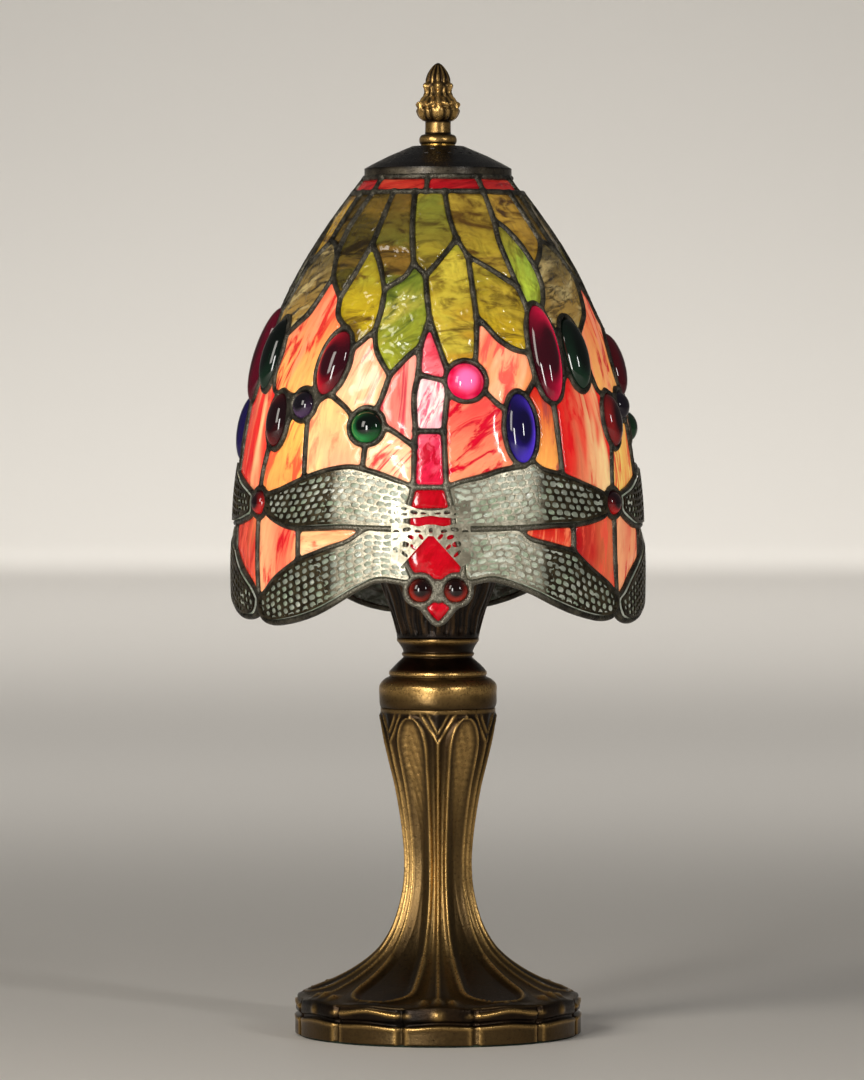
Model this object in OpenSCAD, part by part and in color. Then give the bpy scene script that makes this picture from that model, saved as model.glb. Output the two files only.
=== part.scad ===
/* [Overall] */
// Height from the underside of the felt to the tip of the finial
lamp_h = 356.4; // [356.4:0.1:357]
// Fineness of round surfaces
fineness = 64; // [32:16:96]

/* [Foot and column] */
// Radius of the foot's rim
foot_r = 52.6; // [51:0.1:56]
// Height of the casting, foot and column together
column_h = 120; // [119.9:0.1:120]
// Wall of the base casting
casting_wall = 3.5; // [3:0.1:4]
// Radius of the ballast weight
ballast_r = 43; // [36:1:43.5]
// Thickness of the felt under the foot
felt_t = 1.6; // [1.2:0.1:1.9]

/* [Pipe and stud] */
// Outer radius of the threaded lamp pipe
pipe_r = 5.14; // [5:0.01:5.16]
// Radius of the passage for the wires
pipe_bore_r = 3.2; // [2.5:0.1:3.6]
// Clearance hole in the parts threaded on the pipe
pipe_hole_r = 5.2; // [5.18:0.01:5.24]
// Radius of the stud that carries shade and finial
stud_r = 3.17; // [3.15:0.01:3.18]
// Radius of the holes that turn on the stud
stud_hole_r = 3.22; // [3.21:0.01:3.26]

/* [Shade] */
// Thickness of the art glass
glass_t = 2.4; // [1.8:0.1:2.8]
// Thickness of the lead work at the middle of a line
came_t = 3.2; // [3:0.1:3.6]
// Width of a lead line
came_w = 2.2; // [1.8:0.1:2.4]
// Gap between a glass piece and the lead line around it
glass_gap = 0.03; // [0.02:0.01:0.1]
// Thickness of the wing filigree
filigree_t = 0.7; // [0.5:0.1:0.9]

/* [Light] */
// Outer radius of the bulb's screw cap
bulb_cap_r = 6.1; // [6:0.01:6.15]
// Largest radius of the bulb
bulb_r = 17.5; // [15:0.5:19]
// Radius of the harp's wire
harp_wire_r = 1.6; // [1.2:0.1:2]
// Half the width of the harp
harp_half_w = 31; // [28:1:32]

/* [Hidden] */
$fn = fineness;
sectors = 3;
sector_deg = 120;

// Heights of the faces where the stacked parts meet
rim_z = 0.8;
pipe_z0 = 3;
nut_h = 4;
lock_t = 0.5;
ballast_z1 = 13;
collar_z1 = 145.8;
cup_floor_z = 149;
cup_nut_z = cup_floor_z + 0.6;
saddle_z = 159;
saddle_t = 1.6;
cap_z0 = saddle_z + saddle_t;
shell_z0 = cap_z0 + 12.8;
shell_z1 = shell_z0 + 22;
contact_z = shell_z0 + 8;
harp_top_z = 309;
stud_z0 = 309;
seat_z = 312;
wheel_z = 313;
crown_z = 314.6;
cap_rim_z = 314.9;
cap_top_z = 325.9;
finial_z = 326.6;
stud_z1 = 334;

/* The shade's outer skin is a cubic curve, swept round the axis: radius and height at t */
dome = [[27.4, 314.7], [45.4, 290.7], [75.4, 256], [75.4, 171]];
dome_z_low = dome[3][1];

function bez(a, b, c, d, t) =
    a * pow(1 - t, 3) + 3 * b * pow(1 - t, 2) * t + 3 * c * (1 - t) * t * t + d * pow(t, 3);
function dome_z(t) = bez(dome[0][1], dome[1][1], dome[2][1], dome[3][1], t);
function dome_r(t) = bez(dome[0][0], dome[1][0], dome[2][0], dome[3][0], t);
// The t at which the curve passes height z, by halving
function dome_t(z, lo = 0, hi = 1, n = 18) = n == 0 ? (lo + hi) / 2
    : dome_z((lo + hi) / 2) > z ? dome_t(z, (lo + hi) / 2, hi, n - 1)
    : dome_t(z, lo, (lo + hi) / 2, n - 1);
// Radius of the skin at height z, straight below the curve's end
function skin_r(z) = z <= dome_z_low ? dome[3][0] : dome_r(dome_t(z));
// Lean of the skin, from 0 on the straight hem, read over 1 mm of height
lean_step = 0.5;
function skin_slope(z) = z <= dome_z_low + lean_step ? 0
    : atan((skin_r(z - lean_step) - skin_r(z + lean_step)) / (2 * lean_step));
// Rounded to a thousandth of a millimetre
function mil(x) = round(x * 1000) / 1000;
// A point [angle, height] of the skin, sunk by depth along the skin's normal
function on_skin(p, depth) =
    let (s = skin_slope(p[1]), r = skin_r(p[1]) - depth * cos(s), a = p[0] + 720)
    [mil(r * sin(a % 360)), mil(-r * cos(a % 360)), mil(p[1] - depth * sin(s))];

/* Jewels: angle, height, half width, half height, lean to the right; their lead ring is wider */
jewel_rim = 0.9;
J1 = [-21.5, 223.7, 6, 6, 0];
J2 = [-56, 226, 5.6, 10, 0];
J3 = [-44.8, 231.5, 5.2, 5.2, 0];
J4 = [-35.5, 246.5, 6, 12.4, 12];
J5 = [8.6, 240, 6.7, 6.7, 0];
J6 = [25, 223, 5.8, 12.8, 0];
J7 = [37.3, 250, 6.3, 18.4, 0];
J8 = [50.9, 250, 6.3, 13.6, 0];
J9 = [-61, 196, 4.6, 4.6, 0];
E1 = [-4.9, 165.3, 4.5, 4.5, 0];
E2 = [4.9, 165.3, 4.5, 4.5, 0];
round_list = [J1, J3, J5, J9];
oval_list = [J2, J4, J6, J7, J8];
eye_list = [E1, E2];

// Point i of 12 on a jewel's lead ring, counted from the right side over the top
function ring(j, i) =
    let (f = 30 * i, a = j[2] + jewel_rim, b = j[3] + jewel_rim, r = skin_r(j[1]),
        u = a * cos(f) * cos(j[4]) + b * sin(f) * sin(j[4]),
        v = -a * cos(f) * sin(j[4]) + b * sin(f) * cos(j[4]))
    [mil(j[0] + u / r * 180 / PI), mil(j[1] + v * cos(skin_slope(j[1])))];
// Points i0 to i1 of the ring, in either direction
function arc(j, i0, i1) = [for (i = [i0 : i1 > i0 ? 1 : -1 : i1]) ring(j, (i + 24) % 12)];
// The same point of the next sector to the right, and of the one to the left
function nx(p) = [p[0] + sector_deg, p[1]];
function pv(p) = [p[0] - sector_deg, p[1]];
function nxs(ps) = [for (p = ps) nx(p)];
function pvs(ps) = [for (p = ps) pv(p)];

/* Corners of the pattern, [angle, height]. a: crown and leaves, from left to right */
a0 = [-49, crown_z]; a1 = [-28.5, crown_z]; a2 = [-8, crown_z];
a3 = [12, crown_z]; a4 = [32, crown_z]; a5 = [51.5, crown_z];
a6 = [-49, 309]; a7 = [-31, 309]; a8 = [-15.5, 309]; a9 = [-8, 309]; a10 = [4.5, 309];
a11 = [18, 309]; a12 = [32, 309]; a13 = [44, 309]; a14 = [56.5, 309];
a15 = [-52.5, 297]; a16 = [-51, 286]; a17 = [-47, 277.5]; a18 = [-39.5, 270];
a19 = [-31.5, 298]; a20 = [-32, 290]; a21 = [-35.5, 280]; a22 = [-38, 263.5];
a24 = [-25.5, 282.5]; a25 = [-20.8, 273]; a26 = [-20.8, 266]; a27 = [-22, 258];
a29 = [-13.5, 297]; a30 = [-10.3, 282.5]; a31 = [-13, 278]; a32 = [-17.5, 275];
a33 = [6, 300]; a34 = [8.8, 291.5]; a35 = [2, 285]; a36 = [-5, 278]; a37 = [13, 285];
a44 = [-4.2, 271]; a45 = [-3, 262.5]; a46 = [20, 281.5]; a47 = [26, 278]; a48 = [32.3, 274];
a49 = [31.5, 298.5]; a50 = [30, 291]; a51 = [31, 282]; a52 = [37, 295]; a53 = [42, 289];
a54 = [45, 281.5]; a55 = [44.8, 275]; a56 = [43, 270]; a58 = [57, 298]; a59 = [57.5, 291];
a60 = [51.5, 286]; a62 = [63, 290];
k1 = [-50.5, 270]; k2 = [-54, 264.5]; k3 = [-58.5, 261];
y0 = [13.6, 263]; y1 = [25.5, 251.5]; y2 = [20.5, 255]; y3 = [16.5, 260]; y4 = [13.3, 274];
y5 = [12.8, 254];
// p: the background between jewels and wings
tip = [-15.3, 242]; w1 = [-10, 248.5]; w2 = [-20.3, 250.5]; q0 = [-17, 235]; q1 = [-29, 230.5];
q2 = [-12.6, 221.5]; e2 = [-61.5, 237]; e3 = [-60.3, 208]; x1 = [17.8, 232];
// b: the dragonfly's body
b1l = [-5.9, 252.5]; b1r = [0.2, 252.5]; b2l = [-6.2, 242.3]; b3l = [-7.3, 234];
b3r = [2.4, 231]; b4l = [-6.6, 222]; b4r = [1.6, 222]; bs = [-6.8, 216.5];
b5l = [-7, 202]; b5r = [2.3, 202]; b6l = [-8.6, 193.5]; b6r = [4, 193.5];
b7l = [-8.5, 187]; b7r = [4.5, 187]; b8l = [-9, 176]; b8r = [6.6, 176]; b10 = [0, 168.3];
c0 = [0, 161.6]; c1 = [0, 153.4];
// l and r: the wings' edges, left and right of the body
l1 = [-12.5, 204.8]; l2 = [-17, 206.8]; l3 = [-22, 208.6]; l4 = [-26, 209.2]; l5 = [-33, 208];
l6 = [-41.3, 205]; l7 = [-49, 201.5]; l8 = [-53.6, 200]; l9 = [-55, 191]; l10 = [-48.5, 188];
l11 = [-42.5, 186.8]; l12 = [-35, 187.2]; l13 = [-27, 187.6]; l14 = [-20, 187.3];
l15 = [-25.5, 182.8]; l16 = [-32, 180]; l17 = [-42.5, 175.5]; l18 = [-51, 169.5];
l19 = [-56.5, 164]; l20 = [-60, 161.5]; l21 = [-59.5, 157.5]; l22 = [-57.5, 154.3];
l23 = [-54, 153]; l24 = [-50, 153]; l25 = [-43.5, 154.3]; l26 = [-37, 156.6];
l27 = [-31, 160]; l29 = [-22, 166.3]; l30 = [-16, 169];
ee = [-61, 175];
lm1 = [-12.5, 187.1]; lm2 = [-16.5, 187.2]; rm1 = [10, 187.1]; rm2 = [16, 187.2];
r1 = [6.5, 204]; r2 = [12, 205.6]; r3 = [18, 208]; r5 = [31, 208.3]; r6 = [37.7, 206.3];
r7 = [44, 203.6]; r8 = [51, 200.8]; r9 = [53.5, 191]; r10 = [45, 188.8]; r11 = [40.8, 188.3];
r12 = [33, 188]; r13 = [22.5, 187.3]; r14 = [26, 183.6]; r15 = [32, 181.5];
r16 = [40.8, 178.8]; r17 = [44, 175.5]; r18 = [49, 171]; r19 = [56, 166]; r21 = [59.5, 157.8];
r22 = [57, 155]; r23 = [51, 154.5]; r24 = [43, 156.5]; r25 = [35, 160]; r26 = [28, 164];
r27 = [22, 167]; r28 = [15, 169.3];

// Twice a flat polygon's area, negative if its corners run clockwise
function double_area(f) = [for (i = [0 : len(f) - 1]) let (p = f[i], q = f[(i + 1) % len(f)])
    p[0] * q[1] - p[1] * q[0]] * [for (p = f) 1];
// The same run of corners, turned counter-clockwise as seen from outside
function turned(f) = double_area(f) > 0 ? f : [for (i = [len(f) - 1 : -1 : 0]) f[i]];

/* Glass pieces of one sector, each the run of corners around it */
border_faces = [
    [a0, a6, a7, a8, a9, a2, a1],
    [a2, a9, a10, a11, a12, a4, a3],
    [a4, a12, a13, a14, nx(a6), nx(a0), a5]];
leaf_faces = [
    [a6, a15, a16, a17, a18, a21, a20, a19, a7],
    [a7, a19, a20, a24, a25, a32, a31, a30, a29, a8],
    [a8, a29, a30, a36, a35, a34, a33, a10, a9],
    [a10, a33, a34, a37, a46, a47, a48, a51, a50, a49, a12, a11],
    [a49, a50, a51, a48, each arc(J7, 4, 2), a56, a55, a54, a53, a52],
    [a12, a49, a52, a53, a54, a60, a59, a58, a14, a13],
    [a14, a58, a59, a62, nx(a16), nx(a15), nx(a6)],
    [a62, a59, a60, a54, a55, a56, ring(J7, 2), ring(J7, 1), each arc(J8, 5, 1), nx(k3), nx(k2),
        nx(k1), nx(a17), nx(a16)],
    [a20, a21, a18, a22, each arc(J4, 3, 1), a27, a26, a25, a24],
    [a30, a31, a32, a25, a26, a27, w2, tip, w1, b1l, a45, a44, a36],
    [a34, a35, a36, a44, a45, b1r, each arc(J5, 5, 2), y5, y0, y4, a37],
    [a37, y4, y0, y3, y2, y1, each arc(J7, 6, 4), a48, a47, a46]];
background_faces = [
    [a18, a17, k1, k2, k3, pv(ring(J8, 1)), pv(ring(J8, 0)), pv(ring(J8, 11)), e2,
        each arc(J2, 4, 2), each arc(J3, 5, 2), each arc(J4, 8, 3), a22],
    [a27, each arc(J4, 1, -2), q1, each arc(J1, 5, 2), q0, tip, w2],
    [w1, tip, q0, each arc(J1, 2, 0), q2, bs, b4l, b3l, b2l, b1l],
    [q2, each arc(J1, 0, -3), l3, l2, l1, b5l, bs],
    [ring(J4, 9), each arc(J3, 0, -2), l6, l5, l4, l3, each arc(J1, 9, 5), q1, ring(J4, 10)],
    [each arc(J3, 7, 10), l6, l7, l8, each arc(J9, 1, 3), e3, each arc(J2, 8, 12)],
    [y0, y5, each arc(J5, 2, -1), x1, each arc(J6, 5, 2), each arc(J7, 7, 6), y1, y2, y3],
    [b3r, b4r, b5r, r1, r2, r3, each arc(J6, 9, 5), x1, each arc(J5, 11, 7)],
    [each arc(J6, 10, 14), each arc(J7, 7, 9), r6, r5],
    [each arc(J7, 9, 11), each arc(J8, 7, 11), nx(e2), each nxs(arc(J2, 4, 8)), nx(e3),
        each nxs(arc(J9, 3, 5)), r8, r7, r6],
    [l14, l13, l12, l11, l17, l16, l15],
    [l11, l10, l9, each arc(J9, 11, 9), ee, l20, l19, l18, l17],
    [r13, r14, r15, r16, r11, r12],
    [r11, r16, r17, r18, r19, nx(l20), nx(ee), each nxs(arc(J9, 9, 7)), r9, r10]];
body_faces = [
    [a45, b1l, b2l, ring(J5, 6), ring(J5, 5), b1r],
    [b2l, b3l, b4l, b4r, b3r, ring(J5, 7), ring(J5, 6)],
    [b4l, bs, b5l, b5r, b4r],
    [b5l, b6l, b6r, b5r],
    [b6l, b7l, b7r, b6r],
    [b7l, b8l, each arc(E1, 4, 1), b10, each arc(E2, 5, 2), b8r, b7r],
    [ring(E1, 9), c1, ring(E2, 9), ring(E2, 8), ring(E2, 7), c0, ring(E1, 11), ring(E1, 10)]];
// A wing's outline starts at its root, and its corners pair off from both ends of the list
wing_faces = [
    [b5l, l1, l2, l3, l4, l5, l6, l7, l8, ring(J9, 1), ring(J9, 0), ring(J9, 11), l9, l10, l11,
        l12, l13, l14, lm2, lm1, b7l, b6l],
    [b7l, lm1, lm2, l14, l15, l16, l17, l18, l19, l20, l21, l22, l23, l24, l25, l26, l27, l29,
        l30, ring(E1, 5), ring(E1, 4), b8l],
    [b6r, b7r, rm1, rm2, r13, r12, r11, r10, r9, each nxs(arc(J9, 7, 5)), r8, r7, r6, r5,
        ring(J6, 10), ring(J6, 9), r3, r2, r1, b5r],
    [b8r, ring(E2, 2), ring(E2, 1), r28, r27, r26, r25, r24, r23, r22, r21, nx(l20), r19, r18,
        r17, r16, r15, r14, r13, rm2, rm1, b7r]];
// Small gaps between jewels that are solder all over
solder_faces = [
    [each arc(J3, 0, 2), each arc(J4, 8, 9)],
    [each arc(J3, 5, 7), each arc(J2, 0, 2)],
    [each arc(J7, -1, 1), each arc(J8, 5, 7)],
    [each arc(E1, -1, 1), b10, each arc(E2, 5, 7), c0]];
jewel_faces = [for (j = concat(round_list, oval_list, eye_list)) arc(j, 0, 11)];

/* Modules */
// Angle and height of a corner as lengths on the skin, and back again
function flat(p, r, s) = [p[0] * PI / 180 * r, p[1] / cos(s)];
function unflat(q, r, s) = [q[0] / r * 180 / PI, q[1] * cos(s)];
function unit(v) = v / max(norm(v), 1e-6);
// An outline moved inwards by w, corner by corner, with sharp corners held back
mitre_min = 0.8;
mitre_max = 2.4;
function inset(f, w) = let (n = len(f)) [for (i = [0 : n - 1])
    let (r = skin_r(f[i][1]), s = skin_slope(f[i][1]), p = flat(f[i], r, s),
        d0 = unit(p - flat(f[(i + n - 1) % n], r, s)), d1 = unit(flat(f[(i + 1) % n], r, s) - p),
        m = [-d0[1] - d1[1], d0[0] + d1[0]], k = norm(m) < mitre_min ? mitre_max : 2 / norm(m))
    unflat(p + unit(m) * w * k, r, s)];
function cross2(a, b, c) = (b[0] - a[0]) * (c[1] - a[1]) - (b[1] - a[1]) * (c[0] - a[0]);
function holds(p, a, b, c) = cross2(a, b, p) >= 0 && cross2(b, c, p) >= 0 && cross2(c, a, p) >= 0;
// Corners of the outline that can be cut off as a triangle, each with its cut's length
function ears(f, left) = let (m = len(left)) [for (i = [0 : m - 1])
    let (a = left[(i + m - 1) % m], b = left[i], c = left[(i + 1) % m])
    if (cross2(f[a], f[b], f[c]) > 0 && len([for (j = left)
        if (j != a && j != b && j != c && holds(f[j], f[a], f[b], f[c])) 1]) == 0)
    [norm(f[a] - f[c]), i, [a, b, c]]];
// Triangles that fill an outline, shortest cuts first
function fill(f, left) = len(left) == 3 ? [left]
    : let (e = ears(f, left), least = min([for (x = e) x[0]]),
        cut = [for (x = e) if (x[0] == least) x][0])
    concat([cut[2]], fill(f, [for (i = [0 : len(left) - 1]) if (i != cut[1]) left[i]]));
function turn_by(f, k) = [for (p = f) [p[0] + k * sector_deg, p[1]]];
// Side walls between a front loop of n corners and the back loop that follows it
function walls(n) = [for (i = [0 : n - 1]) let (j = (i + 1) % n)
    each [[i, j, n + i], [n + i, j, n + j]]];

// One closed piece of the shade: an outline between two depths under the skin
module plate(f, depth0, depth1) {
    n = len(f);
    tris = fill(f, [for (i = [0 : n - 1]) i]);
    polyhedron(concat([for (p = f) on_skin(p, depth0)], [for (p = f) on_skin(p, depth1)]),
        concat([for (t = tris) [t[2], t[1], t[0]]], [for (t = tris) [n + t[0], n + t[1], n + t[2]]],
            walls(n)), convexity = 6);
}
// The same for a long piece, filled across from corner to corner so that it follows the dome
module ribbon(f, depth0, depth1) {
    n = len(f);
    polyhedron(concat([for (p = f) on_skin(p, depth0)], [for (p = f) on_skin(p, depth1)]),
        concat([for (i = [0 : n / 2 - 2]) let (a = i, b = i + 1, c = n - 2 - i, d = n - 1 - i)
            each [[c, b, a], [d, c, a], [n + a, n + b, n + c], [n + a, n + c, n + d]]], walls(n)),
        convexity = 6);
}
module glass_pieces(faces, k) {
    for (f = faces)
        plate(turn_by(inset(turned(f), came_w / 2 + glass_gap), k), (came_t - glass_t) / 2,
            (came_t + glass_t) / 2);
}

/* The lead work is one net: a roof from each outline down to the hole in it, outside and inside */
net_faces = [for (f = concat(border_faces, leaf_faces, background_faces, body_faces, wing_faces,
    jewel_faces)) turned(f)];
solid_faces = [for (f = solder_faces) turned(f)];
// Corners on the net's rim, which belong to one piece only, lie on the crown and the hem
hem_z = 172;
function key(p) = [round(((p[0] + 720) % sector_deg) * 100) % 12000, round(p[1] * 100)];
all_edges = [for (f = concat(net_faces, solid_faces)) for (i = [0 : len(f) - 1])
    [f[i], f[(i + 1) % len(f)]]];
rim_edges = [for (e = all_edges) let (m = (e[0][1] + e[1][1]) / 2)
    if (m > crown_z - 0.5 || m < hem_z) let (a = key(e[0]), b = key(e[1]))
    if (len([for (g = all_edges) if (key(g[0]) == b && key(g[1]) == a) 1]) == 0) e];
module lead_net() {
    fronts = [for (k = [0 : sectors - 1]) for (f = net_faces) turn_by(f, k)];
    holes = [for (k = [0 : sectors - 1]) for (f = net_faces) turn_by(inset(f, came_w / 2), k)];
    fills = [for (k = [0 : sectors - 1]) for (f = solid_faces) turn_by(f, k)];
    rims = [for (k = [0 : sectors - 1]) for (e = rim_edges) turn_by(e, k)];
    sizes = [for (f = fronts) len(f)];
    net_start = [for (i = 0, t = 0; i < len(fronts); t = t + 3 * sizes[i], i = i + 1) t];
    net_end = 3 * (sizes * [for (n = sizes) 1]);
    fill_start = [for (i = 0, t = net_end; i < len(fills); t = t + 2 * len(fills[i]), i = i + 1) t];
    fill_end = net_end + 2 * ([for (f = fills) len(f)] * [for (f = fills) 1]);
    points = concat(
        [for (i = [0 : len(fronts) - 1]) each [
            for (p = fronts[i]) on_skin(p, 0), for (p = holes[i]) on_skin(p, came_t / 2),
            for (p = fronts[i]) on_skin(p, came_t)]],
        [for (f = fills) each [for (p = f) on_skin(p, 0), for (p = f) on_skin(p, came_t)]],
        [for (e = rims) each [for (p = e) on_skin(p, 0), for (p = e) on_skin(p, came_t)]]);
    faces = concat(
        [for (i = [0 : len(fronts) - 1]) let (n = sizes[i], t = net_start[i])
            for (a = [0 : n - 1]) let (b = (a + 1) % n)
            each [[t + b, t + a, t + n + a], [t + b, t + n + a, t + n + b],
                [t + n + b, t + n + a, t + 2 * n + a], [t + n + b, t + 2 * n + a, t + 2 * n + b]]],
        [for (i = [0 : len(fills) - 1]) let (n = len(fills[i]), t = fill_start[i])
            for (c = fill(fills[i], [for (a = [0 : n - 1]) a]))
            each [[t + c[2], t + c[1], t + c[0]], [t + n + c[0], t + n + c[1], t + n + c[2]]]],
        [for (i = [0 : len(rims) - 1]) let (t = fill_end + 4 * i)
            each [[t, t + 1, t + 2], [t + 2, t + 1, t + 3]]]);
    polyhedron(points, faces, convexity = 20);
}

/* Jewels are cut from a turned oval, domed outside and flat inside */
jewel_sink = came_t / 2 + 0.8;
jewel_gap = 0.3;
jewel_back = 0.9;
module jewel(j, k) {
    s = skin_slope(j[1]);
    r = skin_r(j[1]) - jewel_sink * cos(s);
    rotate([0, 0, j[0] + k * sector_deg])
        translate([0, -r, j[1] - jewel_sink * sin(s)])
            rotate([-s, 0, 0])
                rotate([0, j[4], 0])
                    difference() {
                        rotate_extrude()
                            intersection() {
                                polygon([for (f = [-90 : 10 : 90])
                                    [max(j[2] * cos(f) - jewel_gap, 0), (j[3] - jewel_gap) * sin(f)]]);
                                translate([0, -j[3]])
                                    square([j[2], 2 * j[3]]);
                            }
                        translate([-j[2], jewel_back, -j[3]])
                            cube([2 * j[2], 2 * j[2], 2 * j[3]]);
                    }
}
module jewels(list) {
    for (k = [0 : sectors - 1])
        for (j = list)
            jewel(j, k);
}

// A round part from a list of [radius, height] around its section
module turned_part(section) {
    rotate_extrude()
        polygon(section);
}
module ring_part(r_in, r_out, z0, z1) {
    difference() {
        translate([0, 0, z0])
            cylinder(r = r_out, h = z1 - z0);
        translate([0, 0, z0 - 1])
            cylinder(r = r_in, h = z1 - z0 + 2);
    }
}
module hex_nut(r, r_hole, z0, h) {
    difference() {
        translate([0, 0, z0])
            cylinder(r = r, h = h, $fn = 6);
        translate([0, 0, z0 - 1])
            cylinder(r = r_hole, h = h + 2);
    }
}

/* Base */
column_outline = [[foot_r, rim_z], [foot_r, 14.6], [foot_r - 1.2, 14.8], [47.3, 16.2], [40.9, 18.4],
    [33.4, 22.5], [26.2, 27], [21.3, 31.9], [16, 41], [12.9, 54.4], [12.4, 62.3], [12.9, 71.5],
    [15.8, 90.4], [18.7, 100.7], [20.3, 108], [21.1, 117.5], [21.1, column_h]];
column_bore = [[pipe_hole_r, column_h], [pipe_hole_r, column_h - 8], [16.6, column_h - 8],
    [16, 104], [12.6, 90.4], [9.6, 71.5], [9.1, 62.3], [9.6, 54.4], [12.4, 41], [17.5, 31.9],
    [22, 27], [30, 19.5], [38, ballast_z1], [foot_r - casting_wall, ballast_z1],
    [foot_r - casting_wall, felt_t], [foot_r - 1.5, felt_t], [foot_r - 1.5, rim_z]];
felt_hole_r = 7;
inlet_z = 8;
inlet_r = 3.4;
bushing_bore_r = 2.2;
nut_r = 8.5;
washer_r = 9.5;
cup_washer_r = 10;
// The nut's pocket and the wires' groove in the ballast weight
pocket_r = 12;
groove_w = 6;
groove_h = 2;
module felt_pad() {
    color("darkolivegreen")
        ring_part(felt_hole_r, foot_r - 1.6, 0, felt_t);
}
module base_casting() {
    color("saddlebrown")
        difference() {
            turned_part(concat(column_outline, column_bore));
            translate([0, foot_r - 8, inlet_z])
                rotate([-90, 0, 0])
                    cylinder(r = inlet_r, h = 12);
        }
}
module cord_bushing() {
    color("black")
        translate([0, foot_r - casting_wall - 0.5, inlet_z])
            rotate([-90, 0, 0])
                ring_part(bushing_bore_r, inlet_r, 0, casting_wall + 0.5);
}
module ballast_weight() {
    color("dimgray")
        difference() {
            ring_part(pipe_hole_r, ballast_r, pipe_z0, ballast_z1);
            translate([0, 0, pipe_z0 - 1])
                cylinder(r = pocket_r, h = 1 + nut_h + lock_t);
            translate([-groove_w / 2, 0, pipe_z0 - 1])
                cube([groove_w, ballast_r + 1, groove_h + 1]);
        }
}
module base_nut() {
    color("silver")
        hex_nut(nut_r, pipe_r, pipe_z0, nut_h);
}
module base_lock_washer() {
    color("silver")
        ring_part(pipe_hole_r, washer_r, pipe_z0 + nut_h, pipe_z0 + nut_h + lock_t);
}
module lamp_pipe() {
    color("gainsboro")
        ring_part(pipe_bore_r, pipe_r, pipe_z0, cap_z0 + 3.5);
}
module collar_casting() {
    color("saddlebrown")
        turned_part([[pipe_hole_r, column_h], [21, column_h], [21.5, 121.6], [21.5, 128.3],
            [17.6, 131.4], [18, 132.4], [17.4, 133.9], [12.8, 138.4], [13.3, 139.4],
            [12.8, 140.6], [14.7, 144], [15.1, 144.8], [15.1, collar_z1], [pipe_hole_r, collar_z1]]);
}
module fluted_cup() {
    color("saddlebrown")
        turned_part([[pipe_hole_r, collar_z1], [15.1, collar_z1], [17.7, 156], [21.3, 165.4],
            [22, 169], [20.4, 169], [19.6, 165.8], [16, 156.4], [14, cup_floor_z],
            [pipe_hole_r, cup_floor_z]]);
}
module cup_washer() {
    color("silver")
        ring_part(pipe_hole_r, cup_washer_r, cup_floor_z, cup_nut_z);
}
module cup_locknut() {
    color("silver")
        hex_nut(nut_r, pipe_r, cup_nut_z, nut_h);
}

/* Harp */
spacer_r = 6.6;
saddle_r = 8;
saddle_w = 4.8;
ferrule_x = 15.3;
ferrule_r = 2.3;
ferrule_h = 14.2;
ferrule_fit = 0.02;
post_r = 1.4;
post_h = 8;
// Ball joints between the harp's straight lengths stand a little proud of the wire
harp_bulge = 0.08;
boss_r = 9;
boss_h = 3;
stud_flange_r = 5;
stud_flange_t = 1.5;
harp_path = [[ferrule_x, saddle_z + post_h + 0.5], [ferrule_x, 181], [24, 195], [harp_half_w, 216],
    [harp_half_w, 250], [27, 278], [17, 300], [7.5, harp_top_z + 1.25]];
module rod(p, q, r) {
    d = q - p;
    translate([p[0], 0, p[1]])
        rotate([0, atan2(d[0], d[1]), 0])
            cylinder(r = r, h = norm(d));
}
module pipe_spacer() {
    color("goldenrod")
        ring_part(pipe_hole_r, spacer_r, cup_nut_z + nut_h, saddle_z);
}
module harp_saddle() {
    color("silver")
        difference() {
            union() {
                translate([-ferrule_x - post_r, -saddle_w / 2, saddle_z])
                    cube([2 * (ferrule_x + post_r), saddle_w, saddle_t]);
                translate([0, 0, saddle_z])
                    cylinder(r = saddle_r, h = saddle_t);
                for (side = [-1, 1])
                    translate([side * ferrule_x, 0, saddle_z])
                        cylinder(r = post_r, h = post_h);
            }
            translate([0, 0, saddle_z - 1])
                cylinder(r = pipe_hole_r, h = saddle_t + 2);
        }
}
module harp_ferrules() {
    color("gold")
        for (side = [-1, 1])
            translate([side * ferrule_x, 0, saddle_z])
                difference() {
                    translate([0, 0, saddle_t])
                        cylinder(r = ferrule_r, h = ferrule_h);
                    translate([0, 0, saddle_t - 1])
                        cylinder(r = post_r + ferrule_fit, h = post_h - saddle_t + 1.3);
                    translate([0, 0, post_h])
                        cylinder(r = harp_wire_r + ferrule_fit, h = ferrule_h);
                }
}
module harp() {
    color("gold")
        difference() {
            union() {
                for (side = [0, 1])
                    mirror([side, 0, 0]) {
                        for (i = [0 : len(harp_path) - 2])
                            rod(harp_path[i], harp_path[i + 1], harp_wire_r);
                        for (i = [1 : len(harp_path) - 1])
                            translate([harp_path[i][0], 0, harp_path[i][1]])
                                sphere(r = harp_wire_r + harp_bulge);
                    }
                translate([0, 0, harp_top_z])
                    cylinder(r = boss_r, h = boss_h);
            }
            translate([0, 0, harp_top_z - boss_h])
                cylinder(r = stud_r, h = 3 * boss_h);
        }
}
module harp_stud() {
    color("gold")
        union() {
            translate([0, 0, stud_z0])
                cylinder(r = stud_r, h = stud_z1 - stud_z0);
            translate([0, 0, stud_z0 - stud_flange_t])
                cylinder(r = stud_flange_r, h = stud_flange_t);
        }
}

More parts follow.
